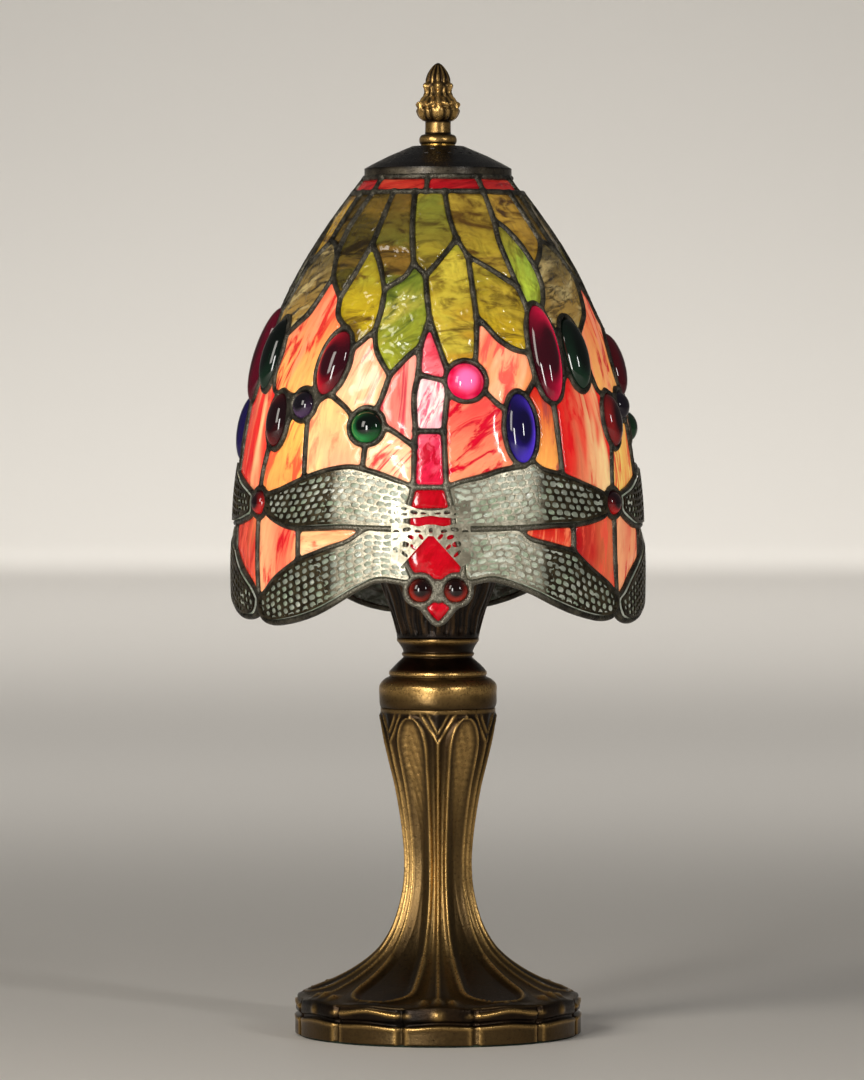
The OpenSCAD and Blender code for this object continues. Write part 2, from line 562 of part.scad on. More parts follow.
/* Socket */
sleeve_r = 12.5;
lining_r = 11.4;
neck_r = 9.8;
neck_h = 3.2;
body_r = 10.4;
thread_gap = 0.08;
shell_r = 6.6;
shell_flange_r = 9;
shell_t = 0.6;
contact_r = 2.4;
contact_t = 1.2;
screw_x = 8.2;
shank_r = 0.8;
head_r = 1.4;
screw_h = 0.8;
module socket_cap() {
    color("goldenrod")
        turned_part([for (p = [[pipe_r, 0], [7, 0], [7, 3.8], [11.2, 7.8], [sleeve_r, 9.8],
            [sleeve_r, 12.8], [lining_r, 12.8], [lining_r, 10.3], [10.4, 8.6], [6.2, 5],
            [pipe_r, 5]])
            [p[0], cap_z0 + p[1]]]);
}
module socket_body() {
    color("saddlebrown")
        union() {
            translate([0, 0, shell_z0 - neck_h])
                cylinder(r = neck_r, h = neck_h);
            translate([0, 0, shell_z0])
                cylinder(r = body_r, h = contact_z - shell_z0);
        }
}
module socket_insulator() {
    color("tan")
        ring_part(lining_r - 0.4, lining_r - 0.1, shell_z0 + 0.2, shell_z1 - 0.6);
}
module socket_sleeve() {
    color("goldenrod")
        turned_part([[lining_r, shell_z0], [sleeve_r, shell_z0], [sleeve_r, shell_z1 - 4],
            [12, shell_z1 - 2], [12, shell_z1], [lining_r, shell_z1]]);
}
module screw_shell() {
    color("gold")
        union() {
            ring_part(bulb_cap_r + thread_gap, shell_r, contact_z, shell_z1 - 1);
            ring_part(shell_r - 0.2, shell_flange_r, contact_z, contact_z + shell_t);
        }
}
module centre_contact() {
    color("gold")
        translate([0, 0, contact_z])
            cylinder(r = contact_r, h = contact_t);
}
module terminal_screws() {
    color("silver")
        for (side = [-1, 1])
            translate([0, side * screw_x, contact_z + shell_t])
                union() {
                    cylinder(r = shank_r, h = screw_h);
                    translate([0, 0, screw_h])
                        cylinder(r = head_r, h = screw_h);
                }
}

/* Bulb */
tip_z = contact_z + 1.3;
tip_r = 2;
tip_h = 1.4;
taper_r = 3;
taper_h = 2;
thread_h = 11;
cap_wall = 0.4;
bulb_wall = 0.8;
bulb_z0 = tip_z + tip_h + taper_h + thread_h;
// Outline of the bulb: shares of its radius, and height above its cap
bulb_outline = [[0.35, 0], [0.42, 5], [0.62, 13], [0.88, 23], [1, 34], [0.97, 44], [0.8, 56],
    [0.5, 70], [0.28, 77], [0.12, 80]];
module bulb_cap() {
    color("gold")
        difference() {
            union() {
                translate([0, 0, tip_z])
                    cylinder(r = tip_r, h = tip_h);
                translate([0, 0, tip_z + tip_h])
                    cylinder(r1 = taper_r, r2 = bulb_cap_r, h = taper_h);
                translate([0, 0, tip_z + tip_h + taper_h])
                    cylinder(r = bulb_cap_r, h = thread_h);
            }
            translate([0, 0, tip_z + 4])
                cylinder(r = bulb_cap_r - cap_wall, h = 2 * thread_h);
        }
}
module bulb_glass() {
    color("white")
        turned_part(concat(
            [[0, bulb_z0 + 80.4]],
            [for (i = [len(bulb_outline) - 1 : -1 : 0])
                [bulb_outline[i][0] * bulb_r, bulb_z0 + bulb_outline[i][1]]],
            [for (i = [0 : len(bulb_outline) - 2])
                [bulb_outline[i][0] * bulb_r - bulb_wall, bulb_z0 + bulb_outline[i][1]]],
            [[0, bulb_z0 + 78.6]]));
}
module bulb_stem() {
    color("lightgray")
        turned_part([[0, bulb_z0 - 9], [4.6, bulb_z0 - 9], [4.6, bulb_z0 - 8], [2, bulb_z0],
            [1.6, bulb_z0 + 18], [2.2, bulb_z0 + 20], [0, bulb_z0 + 21]]);
}
wire_x = 5;
wire_z = bulb_z0 + 20;
wire_h = 22;
wire_r = 0.35;
coil_r = 0.6;
module bulb_filament() {
    color("orange")
        union() {
            for (side = [-1, 1])
                translate([side * wire_x, 0, wire_z])
                    cylinder(r = wire_r, h = wire_h);
            translate([-wire_x, 0, wire_z + wire_h])
                rotate([0, 90, 0])
                    cylinder(r = coil_r, h = 2 * wire_x);
            translate([-wire_x, 0, wire_z + 0.4])
                rotate([0, 90, 0])
                    cylinder(r = wire_r, h = 2 * wire_x);
        }
}

/* Shade carrier, cap and finial */
ring_r = 24.6;
hub_r = 7.5;
hub_h = 3;
spoke_w = 4;
spoke_t = 1.6;
module seat_washer() {
    color("black")
        ring_part(stud_hole_r, hub_r, seat_z, wheel_z);
}
module shade_wheel() {
    color("goldenrod")
        difference() {
            union() {
                translate([0, 0, wheel_z])
                    cylinder(r = hub_r, h = hub_h);
                for (k = [0 : sectors - 1])
                    rotate([0, 0, 90 + k * sector_deg])
                        translate([5, -spoke_w / 2, wheel_z])
                            cube([ring_r - 5.4, spoke_w, spoke_t]);
            }
            translate([0, 0, wheel_z - hub_h])
                cylinder(r = stud_hole_r, h = 3 * hub_h);
        }
}
module top_ring() {
    color("goldenrod")
        turned_part([[ring_r - 0.6, wheel_z - spoke_t], [ring_r - 0.6, wheel_z],
            [ring_r - 0.6, crown_z], [ring_r + 0.4, crown_z], [ring_r + 0.4, wheel_z - spoke_t]]);
}
module lead_work() {
    color("darkslategray")
        lead_net();
}
module border_glass() {
    color("crimson")
        for (k = [0 : sectors - 1])
            glass_pieces(border_faces, k);
}
module leaf_glass(k) {
    color("olivedrab")
        glass_pieces(leaf_faces, k);
}
module background_glass(k) {
    color("lightsalmon")
        glass_pieces(background_faces, k);
}
module dragonfly_body(k) {
    color("deeppink")
        glass_pieces(body_faces, k);
}
module wing_glass(k) {
    color("lightcyan")
        for (f = wing_faces)
            ribbon(turn_by(inset(f, came_w / 2 + glass_gap), k), (came_t - glass_t) / 2,
                (came_t + glass_t) / 2);
}
filigree_margin = 0.4;
filigree_gap = 0.1;
module wing_filigree(k) {
    color("gray")
        for (f = wing_faces)
            ribbon(turn_by(inset(f, filigree_margin), k), -filigree_t - filigree_gap, -filigree_gap);
}
module round_jewels() {
    color("darkgreen")
        jewels(round_list);
}
module oval_jewels() {
    color("darkred")
        jewels(oval_list);
}
module dragonfly_eyes() {
    color("maroon")
        jewels(eye_list);
}
// Slots that let the warm air out, in two rings: radius, number and width
vent_rows = [[12.5, 18, 0.9], [16.5, 24, 0.9]];
vent_len = 1.6;
finial_washer_r = 6.3;
bore_z1 = stud_z1 + 0.8;
module shade_cap() {
    color("dimgray")
        difference() {
            turned_part([[stud_hole_r, 324.3], [stud_hole_r, cap_top_z], [9.5, cap_top_z],
                [18, 322.3], [24, 319.3], [27, 317.6], [27, cap_rim_z], [25.8, cap_rim_z],
                [25.8, 316.8], [23.4, 317.9], [17.6, 320.7], [9.2, 324.3]]);
            for (row = vent_rows)
                for (i = [0 : row[1] - 1])
                    rotate([0, 0, 360 / row[1] * i])
                        translate([row[0] - row[2] / 2, -vent_len / 2, cap_rim_z])
                            cube([row[2], vent_len, cap_top_z - cap_rim_z + 1]);
        }
}
module finial_washer() {
    color("black")
        ring_part(stud_hole_r, finial_washer_r, cap_top_z, finial_z);
}
module finial() {
    color("peru")
        turned_part([[stud_hole_r, finial_z], [6.7, finial_z], [6.9, 328.2], [6.2, 329.9],
            [4.8, 330.4], [4.7, 334.6], [7, 336.6], [8, 339], [7.2, 341.6], [4.8, 344.6],
            [6.2, 348], [5.2, 349.4], [4.3, 351], [3.6, 353], [1.6, 355.6], [0, lamp_h],
            [0, bore_z1], [stud_hole_r, bore_z1]]);
}

felt_pad();
base_casting();
cord_bushing();
ballast_weight();
base_nut();
base_lock_washer();
lamp_pipe();
collar_casting();
fluted_cup();
cup_washer();
cup_locknut();
pipe_spacer();
harp_saddle();
harp_ferrules();
harp();
harp_stud();
socket_cap();
socket_body();
socket_insulator();
socket_sleeve();
screw_shell();
centre_contact();
terminal_screws();
bulb_cap();
bulb_glass();
bulb_stem();
bulb_filament();
seat_washer();
shade_wheel();
top_ring();
lead_work();
border_glass();
leaf_glass(0);  // leaf_glass_1
leaf_glass(1);  // leaf_glass_2
leaf_glass(2);  // leaf_glass_3
background_glass(0);  // background_glass_1
background_glass(1);  // background_glass_2
background_glass(2);  // background_glass_3
dragonfly_body(0);  // dragonfly_body_1
dragonfly_body(1);  // dragonfly_body_2
dragonfly_body(2);  // dragonfly_body_3
wing_glass(0);  // wing_glass_1
wing_glass(1);  // wing_glass_2
wing_glass(2);  // wing_glass_3
wing_filigree(0);  // wing_filigree_1
wing_filigree(1);  // wing_filigree_2
wing_filigree(2);  // wing_filigree_3
round_jewels();
oval_jewels();
dragonfly_eyes();
shade_cap();
finial_washer();
finial();
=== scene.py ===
"""Stained glass table lamp: leaded dome with jewels and winged insects on a cast column."""
import math

import bpy
import bmesh
import numpy as np
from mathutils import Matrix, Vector, geometry


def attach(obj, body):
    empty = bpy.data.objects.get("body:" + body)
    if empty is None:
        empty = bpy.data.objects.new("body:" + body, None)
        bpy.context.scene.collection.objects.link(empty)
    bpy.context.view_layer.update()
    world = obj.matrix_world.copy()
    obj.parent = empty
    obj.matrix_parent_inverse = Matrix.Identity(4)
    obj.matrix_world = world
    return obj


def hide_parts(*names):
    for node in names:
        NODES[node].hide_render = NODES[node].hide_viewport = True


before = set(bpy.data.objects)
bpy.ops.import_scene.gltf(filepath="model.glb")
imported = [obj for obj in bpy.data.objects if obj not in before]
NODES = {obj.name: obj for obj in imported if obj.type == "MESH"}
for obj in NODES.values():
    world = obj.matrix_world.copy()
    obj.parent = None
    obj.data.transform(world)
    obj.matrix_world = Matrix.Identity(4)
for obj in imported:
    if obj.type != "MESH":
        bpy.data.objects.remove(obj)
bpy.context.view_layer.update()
MM = 0.001

# ---- camera, light and floor
CAMERA_PLACE = (-0.0022, -2.25, 0.233)
CAMERA_TARGET = (-0.0022, 0, 0.1815)
LAMP_MIDDLE = (0, 0, 0.17)
# Each row: name, place, target, width and height, watts, colour, spread in degrees.
LIGHTS = [
    ("key_left", (-0.85, -0.9, 0.75), LAMP_MIDDLE, (0.35, 0.7), 6.5, (1.0, 0.95, 0.87), 180),
    ("soft_front", (-0.52, -1.35, 0.30), LAMP_MIDDLE, (0.2, 0.6), 9, (1.0, 0.98, 0.94), 180),
    ("strip_right", (0.88, -1.1, 0.6), LAMP_MIDDLE, (0.08, 0.35), 3.6, (1.0, 0.99, 0.97), 180),
    ("backdrop", (0, 6.0, 2.6), (0, 8.6, 0.2), (5.0, 0.8), 44, (1, 0.99, 0.97), 110),
    ("floor_fill", (0, 4.4, 3.0), (0, 4.8, 0), (4.0, 5.0), 46, (1, 0.98, 0.95), 100),
    ("floor_near", (0, 1.3, 1.2), (0, 1.35, 0), (3.0, 0.9), 2.2, (1, 0.98, 0.95), 75),
]
WORLD_COLOUR = (0.93, 0.92, 0.90, 1)
WORLD_STRENGTH = 0.12
FLOOR_COLOUR = (0.86, 0.82, 0.76, 1)


def link(obj):
    bpy.context.scene.collection.objects.link(obj)
    return obj


def aim(obj, target):
    obj.rotation_euler = (Vector(target) - obj.location).to_track_quat("-Z", "Y").to_euler()


def add_camera():
    cam = link(bpy.data.objects.new("camera", bpy.data.cameras.new("camera")))
    cam.data.lens = 204.3
    cam.data.sensor_width = 36
    cam.data.clip_end = 20
    cam.location = CAMERA_PLACE
    aim(cam, CAMERA_TARGET)
    bpy.context.scene.camera = cam


def add_lights():
    bpy.context.scene.view_settings.view_transform = "Standard"
    world = bpy.data.worlds.new("studio")
    bpy.context.scene.world = world
    world.use_nodes = True
    back = world.node_tree.nodes["Background"]
    back.inputs["Color"].default_value = WORLD_COLOUR
    back.inputs["Strength"].default_value = WORLD_STRENGTH
    for name, spot, target, size, watts, colour, spread in LIGHTS:
        data = bpy.data.lights.new(name, "AREA")
        data.shape = "RECTANGLE"
        data.size, data.size_y = size
        data.energy = watts
        data.color = colour
        data.spread = math.radians(spread)
        light = link(bpy.data.objects.new(name, data))
        light.location = spot
        aim(light, target)


def add_floor():
    """A pale studio floor that sweeps up into a wall, far enough away to stand behind every camera."""
    half_width, front_edge, wall, sweep, wall_top = 8.0, -8.0, 10.0, 2.5, 6.0
    path = [(front_edge, 0), (0, 0), (wall - sweep, 0)]
    path += [(wall - sweep + sweep * math.sin(a), sweep - sweep * math.cos(a))
             for a in np.linspace(0.1, math.pi / 2, 14)]
    path.append((wall, wall_top))
    verts = [(x, y, z) for y, z in path for x in (-half_width, half_width)]
    faces = [(i, i + 1, i + 3, i + 2) for i in range(0, len(verts) - 2, 2)]
    floor = mesh_from("studio_floor", verts, faces)
    mat, _, shader = new_material("studio_floor", 0.6)
    shader.inputs["Base Color"].default_value = FLOOR_COLOUR
    floor.data.materials.append(mat)


# ---- mesh helpers
def mesh_from(name, verts, faces):
    """A smooth-shaded object from corners and faces."""
    mesh = bpy.data.meshes.new(name)
    mesh.from_pydata([tuple(v) for v in verts], [], faces)
    mesh.validate()
    shade_smooth(mesh)
    return link(bpy.data.objects.new(name, mesh))


def shade_smooth(mesh, on=True):
    mesh.polygons.foreach_set("use_smooth", [on] * len(mesh.polygons))


def set_attribute(obj, name, values):
    """Stores a number, a vector or a colour for each corner of an object."""
    width = 1 if values.ndim == 1 else values.shape[1]
    kind, field = {1: ("FLOAT", "value"), 3: ("FLOAT_VECTOR", "vector"),
                   4: ("FLOAT_COLOR", "color")}[width]
    data = obj.data.attributes.new(name, kind, "POINT").data
    data.foreach_set(field, np.ascontiguousarray(values, dtype=np.float32).ravel())


class Pile:
    """Loose parts gathered for one object, with values for each of their corners."""

    def __init__(self):
        self.corners, self.faces, self.values, self.count = [], [], {}, 0

    def add(self, corners, faces, **values):
        self.corners.append(corners)
        self.faces += [tuple(self.count + i for i in face) for face in faces]
        self.count += len(corners)
        for name, value in values.items():
            self.values.setdefault(name, []).append(value)

    def build(self, name):
        obj = mesh_from(name, np.vstack(self.corners), self.faces)
        for key, parts in self.values.items():
            set_attribute(obj, key, np.concatenate(parts))
        return obj


def place(obj, body, material, node):
    """Lets a piece take a CAD node's place, on its body and in its material slot."""
    obj.data.materials.clear()
    obj.data.materials.append(material)
    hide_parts(node)
    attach(obj, body)


def ring_quads(rows, steps, closed=False):
    """The quads between rows of corners that run round in rings."""
    i, j = np.meshgrid(np.arange(rows if closed else rows - 1), np.arange(steps), indexing="ij")
    i2, j2 = (i + 1) % rows, (j + 1) % steps
    quads = np.stack([i * steps + j, i * steps + j2, i2 * steps + j2, i2 * steps + j], -1)
    return [tuple(quad) for quad in quads.reshape(-1, 4).tolist()]


def lathe(radius, height):
    """A closed outline turned round Z: the radius and height of each of its points, all round."""
    turn = np.linspace(0, 2 * math.pi, radius.shape[1], endpoint=False)
    verts = np.stack([radius * np.sin(turn), -radius * np.cos(turn), height], -1)
    return verts.reshape(-1, 3), ring_quads(*radius.shape, closed=True)


def all_round(outline, steps):
    """The radii and heights of an outline, repeated for each step of a turn."""
    radius, height = np.array(outline).T
    return radius[:, None] * np.ones(steps), height[:, None] * np.ones(steps)


def dense(points, step):
    """The corners of an open outline with further points between them, at most a step apart."""
    out = [points[0]]
    for p, q in zip(points, points[1:]):
        k = max(1, math.ceil(math.dist(p, q) / step))
        out += [(p[0] + (q[0] - p[0]) * i / k, p[1] + (q[1] - p[1]) * i / k) for i in range(1, k + 1)]
    return out


def curve_through(points, step):
    """A smooth line through points, as an array with a point each step or so."""
    p = np.array(points, float)
    p = np.vstack([2 * p[0] - p[1], p, 2 * p[-1] - p[-2]])
    out = []
    for a, b, c, d in zip(p, p[1:], p[2:], p[3:]):
        k = max(1, math.ceil(np.linalg.norm(c - b) / step))
        t = (np.arange(k) / k)[:, None]
        out.append(0.5 * (2 * b + (c - a) * t + (2 * a - 5 * b + 4 * c - d) * t**2
                          + (3 * b - a - 3 * c + d) * t**3))
    return np.vstack(out + [p[-2]])


def length_along(line):
    """How far each point of a line lies from its start."""
    return np.concatenate([[0], np.cumsum(np.linalg.norm(np.diff(line, axis=0), axis=1))])


def edges_of(faces):
    """The edges of faces as pairs of corners, in the direction of each face."""
    return [(a, b) for face in faces for a, b in zip(face, face[1:] + face[:1])]


def open_edges(faces):
    """The edges that have a face on one side only."""
    edges = dict.fromkeys(edges_of(faces))
    return [(a, b) for a, b in edges if (b, a) not in edges]


def thicken(front, back, faces):
    """A closed plate from a net's front and back corners."""
    count = len(front)
    plate = faces + [tuple(count + i for i in face[::-1]) for face in faces]
    plate += [(b, a, count + a, count + b) for a, b in open_edges(faces)]
    return np.vstack([front, back]), plate


def smoothstep(low, high, x):
    t = np.clip((x - low) / (high - low), 0, 1)
    return t * t * (3 - 2 * t)


def between(x, start, full, last, end):
    """1 from full to last, fading to 0 at start and end."""
    return smoothstep(start, full, x) * (1 - smoothstep(last, end, x))


def bell(x, width):
    return np.exp(-(x / width)**2)


# ---- the dome
DOME = np.array([(27.4, 314.7), (45.4, 290.7), (75.4, 256), (75.4, 171)]) * MM
DOME_FOOT = 0.14


def dome_table():
    """The skin's heights, radii, run from the hem upwards and lean, from its cubic curve."""
    t = np.linspace(0, 1, 600)[:, None]
    curve = ((1 - t)**3 * DOME[0] + 3 * (1 - t)**2 * t * DOME[1]
             + 3 * (1 - t) * t**2 * DOME[2] + t**3 * DOME[3])
    curve = np.vstack([curve, [DOME[3][0], DOME_FOOT]])[::-1]
    lean = np.arctan2(-np.gradient(curve[:, 0]), np.gradient(curve[:, 1]))
    return curve[:, 1], curve[:, 0], length_along(curve), np.clip(lean, 0, None)


DOME_Z, DOME_R, DOME_RUN, DOME_LEAN = dome_table()


def skin_radius(z):
    return np.interp(z, DOME_Z, DOME_R)


def skin_lean(z):
    return np.interp(z, DOME_Z, DOME_LEAN)


def run_at(z):
    return np.interp(z, DOME_Z, DOME_RUN)


def height_at(run):
    return np.interp(run, DOME_RUN, DOME_Z)


def on_skin(angle, z, depth):
    """Points at an angle from the front, a height and a depth under the dome's skin."""
    lean = skin_lean(z)
    radius = skin_radius(z) - depth * np.cos(lean)
    return np.stack([radius * np.sin(angle), -radius * np.cos(angle),
                     z - depth * np.sin(lean)], -1)


def skin_normal(angle, z):
    return on_skin(angle, z, -1.0) - on_skin(angle, z, 0.0)


def skin_depth(points):
    """How far points lie under the skin, and their angle and height on it."""
    radius = np.hypot(points[:, 0], points[:, 1])
    z = points[:, 2].copy()
    for _ in range(3):
        lean = skin_lean(z)
        depth = (skin_radius(z) - radius) * np.cos(lean) + (z - points[:, 2]) * np.sin(lean)
        z = points[:, 2] + depth * np.sin(lean)
    return depth, np.arctan2(points[:, 0], -points[:, 1]), z


def local_angle(angle):
    """An angle in degrees from the middle of its own insect, -60 to 60."""
    return (np.degrees(angle) + 60) % 120 - 60


def weld(node):
    """A CAD node's corners, each once, and its triangles."""
    bm = bmesh.new()
    bm.from_mesh(NODES[node].data)
    bmesh.ops.remove_doubles(bm, verts=bm.verts, dist=2e-6)
    bmesh.ops.triangulate(bm, faces=bm.faces)
    bm.verts.index_update()
    points = np.array([v.co for v in bm.verts])
    faces = np.array([[v.index for v in f.verts] for f in bm.faces])
    bm.free()
    return points, faces


def islands(count, faces):
    """Numbers the loose parts of a mesh, one number per corner."""
    label = np.arange(count)
    while True:
        low = label[faces].min(axis=1)
        new = label.copy()
        for k in range(3):
            np.minimum.at(new, faces[:, k], low)
        new = new[new]
        if (new == label).all():
            return label
        label = new


def outlines(node):
    """The outer outline of each loose piece of a CAD node: rows of [angle, run along the dome]."""
    points, faces = weld(node)
    depth, angle, z = skin_depth(points)
    label = islands(len(points), faces)
    result = []
    for part in np.unique(label):
        mine = faces[label[faces[:, 0]] == part]
        middle = (depth[mine].max() + depth[mine].min()) / 2
        front = mine[(depth[mine] < middle).all(axis=1)]
        follow = dict(open_edges([tuple(tri) for tri in front.tolist()]))
        start = next(iter(follow))
        loop = [start]
        while follow[loop[-1]] != start:
            loop.append(follow[loop[-1]])
        ring = np.stack([np.unwrap(angle[loop]), run_at(z[loop])], -1)
        area = np.sum(ring[:, 0] * np.roll(ring[:, 1], -1) - np.roll(ring[:, 0], -1) * ring[:, 1])
        result.append(ring if area > 0 else ring[::-1])
    return result


def grow(flat, width):
    """A flat outline moved outwards by width, its corners kept."""
    before = flat - np.roll(flat, 1, 0)
    after = np.roll(flat, -1, 0) - flat
    before /= np.maximum(np.linalg.norm(before, axis=1, keepdims=True), 1e-9)
    after /= np.maximum(np.linalg.norm(after, axis=1, keepdims=True), 1e-9)
    normal = np.stack([before[:, 1] + after[:, 1], -before[:, 0] - after[:, 0]], -1)
    size = np.maximum(np.linalg.norm(normal, axis=1, keepdims=True), 0.9)
    return flat + normal / size * width * 2 / size


def inside(flat, points):
    """Which points lie inside a flat outline, and how far each is from it."""
    a, b = flat, np.roll(flat, -1, 0)
    x, y = points[:, 0, None], points[:, 1, None]
    with np.errstate(divide="ignore", invalid="ignore"):
        cross = (a[:, 0] + (y - a[:, 1]) * (b[:, 0] - a[:, 0]) / (b[:, 1] - a[:, 1])) > x
    odd = (((a[:, 1] > y) != (b[:, 1] > y)) & cross).sum(axis=1) % 2 == 1
    d = b - a
    t = ((x - a[:, 0]) * d[:, 0] + (y - a[:, 1]) * d[:, 1]) / np.maximum((d**2).sum(1), 1e-18)
    t = np.clip(t, 0, 1)
    near = np.hypot(x - a[:, 0] - t * d[:, 0], y - a[:, 1] - t * d[:, 1]).min(axis=1)
    return odd, near


def fill_flat(loop, step):
    """Triangles that fill a flat outline, with corners in staggered rows about a step apart."""
    ring = dense([tuple(p) for p in loop] + [tuple(loop[0])], step)[:-1]
    low, high = loop.min(axis=0), loop.max(axis=0)
    grid = np.array([(x + (step / 2 if k % 2 else 0), y)
                     for k, y in enumerate(np.arange(low[1], high[1], step * 0.87))
                     for x in np.arange(low[0], high[0] + step, step)])
    odd, near = inside(loop, grid)
    points = ring + [tuple(p) for p in grid[odd & (near > step * 0.55)]]
    edges = [(i, (i + 1) % len(ring)) for i in range(len(ring))]
    out = geometry.delaunay_2d_cdt([Vector(p) for p in points], edges, [], 1, 1e-7)
    return np.array([tuple(v) for v in out[0]]), [tuple(f) for f in out[2]]


# ---- materials
def rgb(red, green, blue):
    """A colour given from 0 to 255, as the linear numbers that shaders take."""
    return tuple((c / 255 / 12.92) if c < 11 else ((c / 255 + 0.055) / 1.055)**2.4
                 for c in (red, green, blue)) + (1.0,)


def painted(colour, count):
    """A colour given from 0 to 255, for each of a number of corners."""
    return np.tile(rgb(*colour), (count, 1))


def new_material(name, roughness, metallic=0.0):
    mat = bpy.data.materials.new(name)
    mat.use_nodes = True
    shader = mat.node_tree.nodes["Principled BSDF"]
    shader.inputs["Roughness"].default_value = roughness
    shader.inputs["Metallic"].default_value = metallic
    return mat, mat.node_tree, shader


def feed(nt, socket, source):
    """Joins an input to another node's output, or sets it to a value."""
    if hasattr(source, "is_output"):
        nt.links.new(source, socket)
    else:
        socket.default_value = source


def add(nt, kind, inputs=(), **settings):
    """A node with its settings and what goes into its inputs."""
    made = nt.nodes.new(kind)
    for key, value in settings.items():
        setattr(made, key, value)
    for socket, source in dict(inputs).items():
        feed(nt, made.inputs[socket], source)
    return made


def noise_node(nt, coords, scale, detail=4.0, roughness=0.55, distortion=0.0):
    return add(nt, "ShaderNodeTexNoise", {
        "Vector": coords, "Scale": scale, "Detail": detail, "Roughness": roughness,
        "Distortion": distortion}).outputs["Fac"]


def ramp(nt, value, low, high, out_low=0.0, out_high=1.0):
    return add(nt, "ShaderNodeMapRange", {
        "Value": value, "From Min": low, "From Max": high, "To Min": out_low,
        "To Max": out_high}, interpolation_type="SMOOTHSTEP").outputs["Result"]


def maths(nt, operation, a, b):
    return add(nt, "ShaderNodeMath", {0: a, 1: b}, operation=operation).outputs["Value"]


def blend_colour(nt, factor, a, b, mode="MIX"):
    return add(nt, "ShaderNodeMix", {0: factor, 6: a, 7: b}, data_type="RGBA",
               blend_type=mode).outputs[2]


def object_coords(nt):
    return add(nt, "ShaderNodeTexCoord").outputs["Object"]


def attribute_node(nt, name, output="Fac"):
    return add(nt, "ShaderNodeAttribute", attribute_name=name).outputs[output]


def bump(nt, shader, heights, distance):
    """Bump from heights in turn: each is (value, strength)."""
    normal = None
    for value, strength in heights:
        inputs = {"Height": value, "Strength": strength, "Distance": distance}
        if normal is not None:
            inputs["Normal"] = normal
        normal = add(nt, "ShaderNodeBump", inputs).outputs["Normal"]
    nt.links.new(normal, shader.inputs["Normal"])


def surface(name, low, high, roughness, metallic, scale, grain, depth, spread=0.12, polish_and_highlight=None):
    """A finish with mottled colour, uneven gloss and fine bumps.

    Where a polish colour is given, it shows where the piece's attribute says: rubbed wear on the
    castings, and painted highlights on the lead and the collar's mouldings."""
    mat, nt, shader = new_material(name, roughness, metallic)
    coords = object_coords(nt)
    cloud = noise_node(nt, coords, scale, 5, 0.6)
    fine = noise_node(nt, coords, grain, 3, 0.6)
    colour = blend_colour(nt, ramp(nt, cloud, 0.35, 0.68), rgb(*low), rgb(*high))
    gloss = ramp(nt, fine, 0.2, 0.8, roughness - spread, roughness + spread)
    if polish_and_highlight:
        wear_and_highlight_share = maths(nt, "MULTIPLY", attribute_node(nt, "wear_and_highlight"), ramp(nt, fine, 0.25, 0.6, 0.72, 1.0))
        wear_and_highlight_share = maths(nt, "MINIMUM", wear_and_highlight_share, 1.0)
        colour = blend_colour(nt, wear_and_highlight_share, colour, rgb(*polish_and_highlight))
        gloss = maths(nt, "SUBTRACT", gloss, maths(nt, "MULTIPLY", wear_and_highlight_share, 0.08))
    nt.links.new(colour, shader.inputs["Base Color"])
    nt.links.new(gloss, shader.inputs["Roughness"])
    bump(nt, shader, [(cloud, depth), (fine, depth)], 0.0006)
    return mat


def two_tone(name, metallic, mask, cloud_noise, grain, first, second, roughness, depths):
    """A metal with one mottled pair of colours where the mask is 0 and another where it is 1.

    Each pair is (first cloud value, last cloud value, low colour, high colour)."""
    mat, nt, shader = new_material(name, roughness[0], metallic)
    coords = object_coords(nt)
    cloud = noise_node(nt, coords, *cloud_noise)
    fine = noise_node(nt, coords, grain, 3)
    tones = [blend_colour(nt, ramp(nt, cloud, start, end), rgb(*low), rgb(*high))
             for start, end, low, high in (first, second)]
    nt.links.new(blend_colour(nt, mask(nt, coords), *tones), shader.inputs["Base Color"])
    nt.links.new(ramp(nt, fine, 0.2, 0.8, *roughness), shader.inputs["Roughness"])
    bump(nt, shader, [(cloud, depths[0]), (fine, depths[1])], 0.0005)
    return mat


def pewter():
    """The wings' cast metal: dark patina towards the tips, and a painted highlight that makes it bright
    near the insect's body.
    """
    return two_tone("pewter_lace", 0.85, lambda nt, coords: attribute_node(nt, "bright"), (260, 4),
                    1400, (0.35, 0.7, (54, 46, 33), (102, 91, 68)),
                    (0.35, 0.7, (142, 136, 118), (202, 195, 174)), (0.26, 0.46), (0.3, 0.25))


def cap_bronze():
    """Dark patina on the cap's slope and a rubbed, greyer rim."""
    rim_top, rim_low = 0.3178, 0.3164

    def on_rim(nt, coords):
        height = add(nt, "ShaderNodeSeparateXYZ", {0: coords}).outputs["Z"]
        return ramp(nt, height, rim_top, rim_low)

    return two_tone("cap_bronze", 0.6, on_rim, (110, 5, 0.6), 1300,
                    (0.4, 0.72, (9, 6, 5), (26, 17, 12)),
                    (0.35, 0.7, (48, 42, 34), (98, 90, 74)), (0.22, 0.42), (0.15, 0.12))


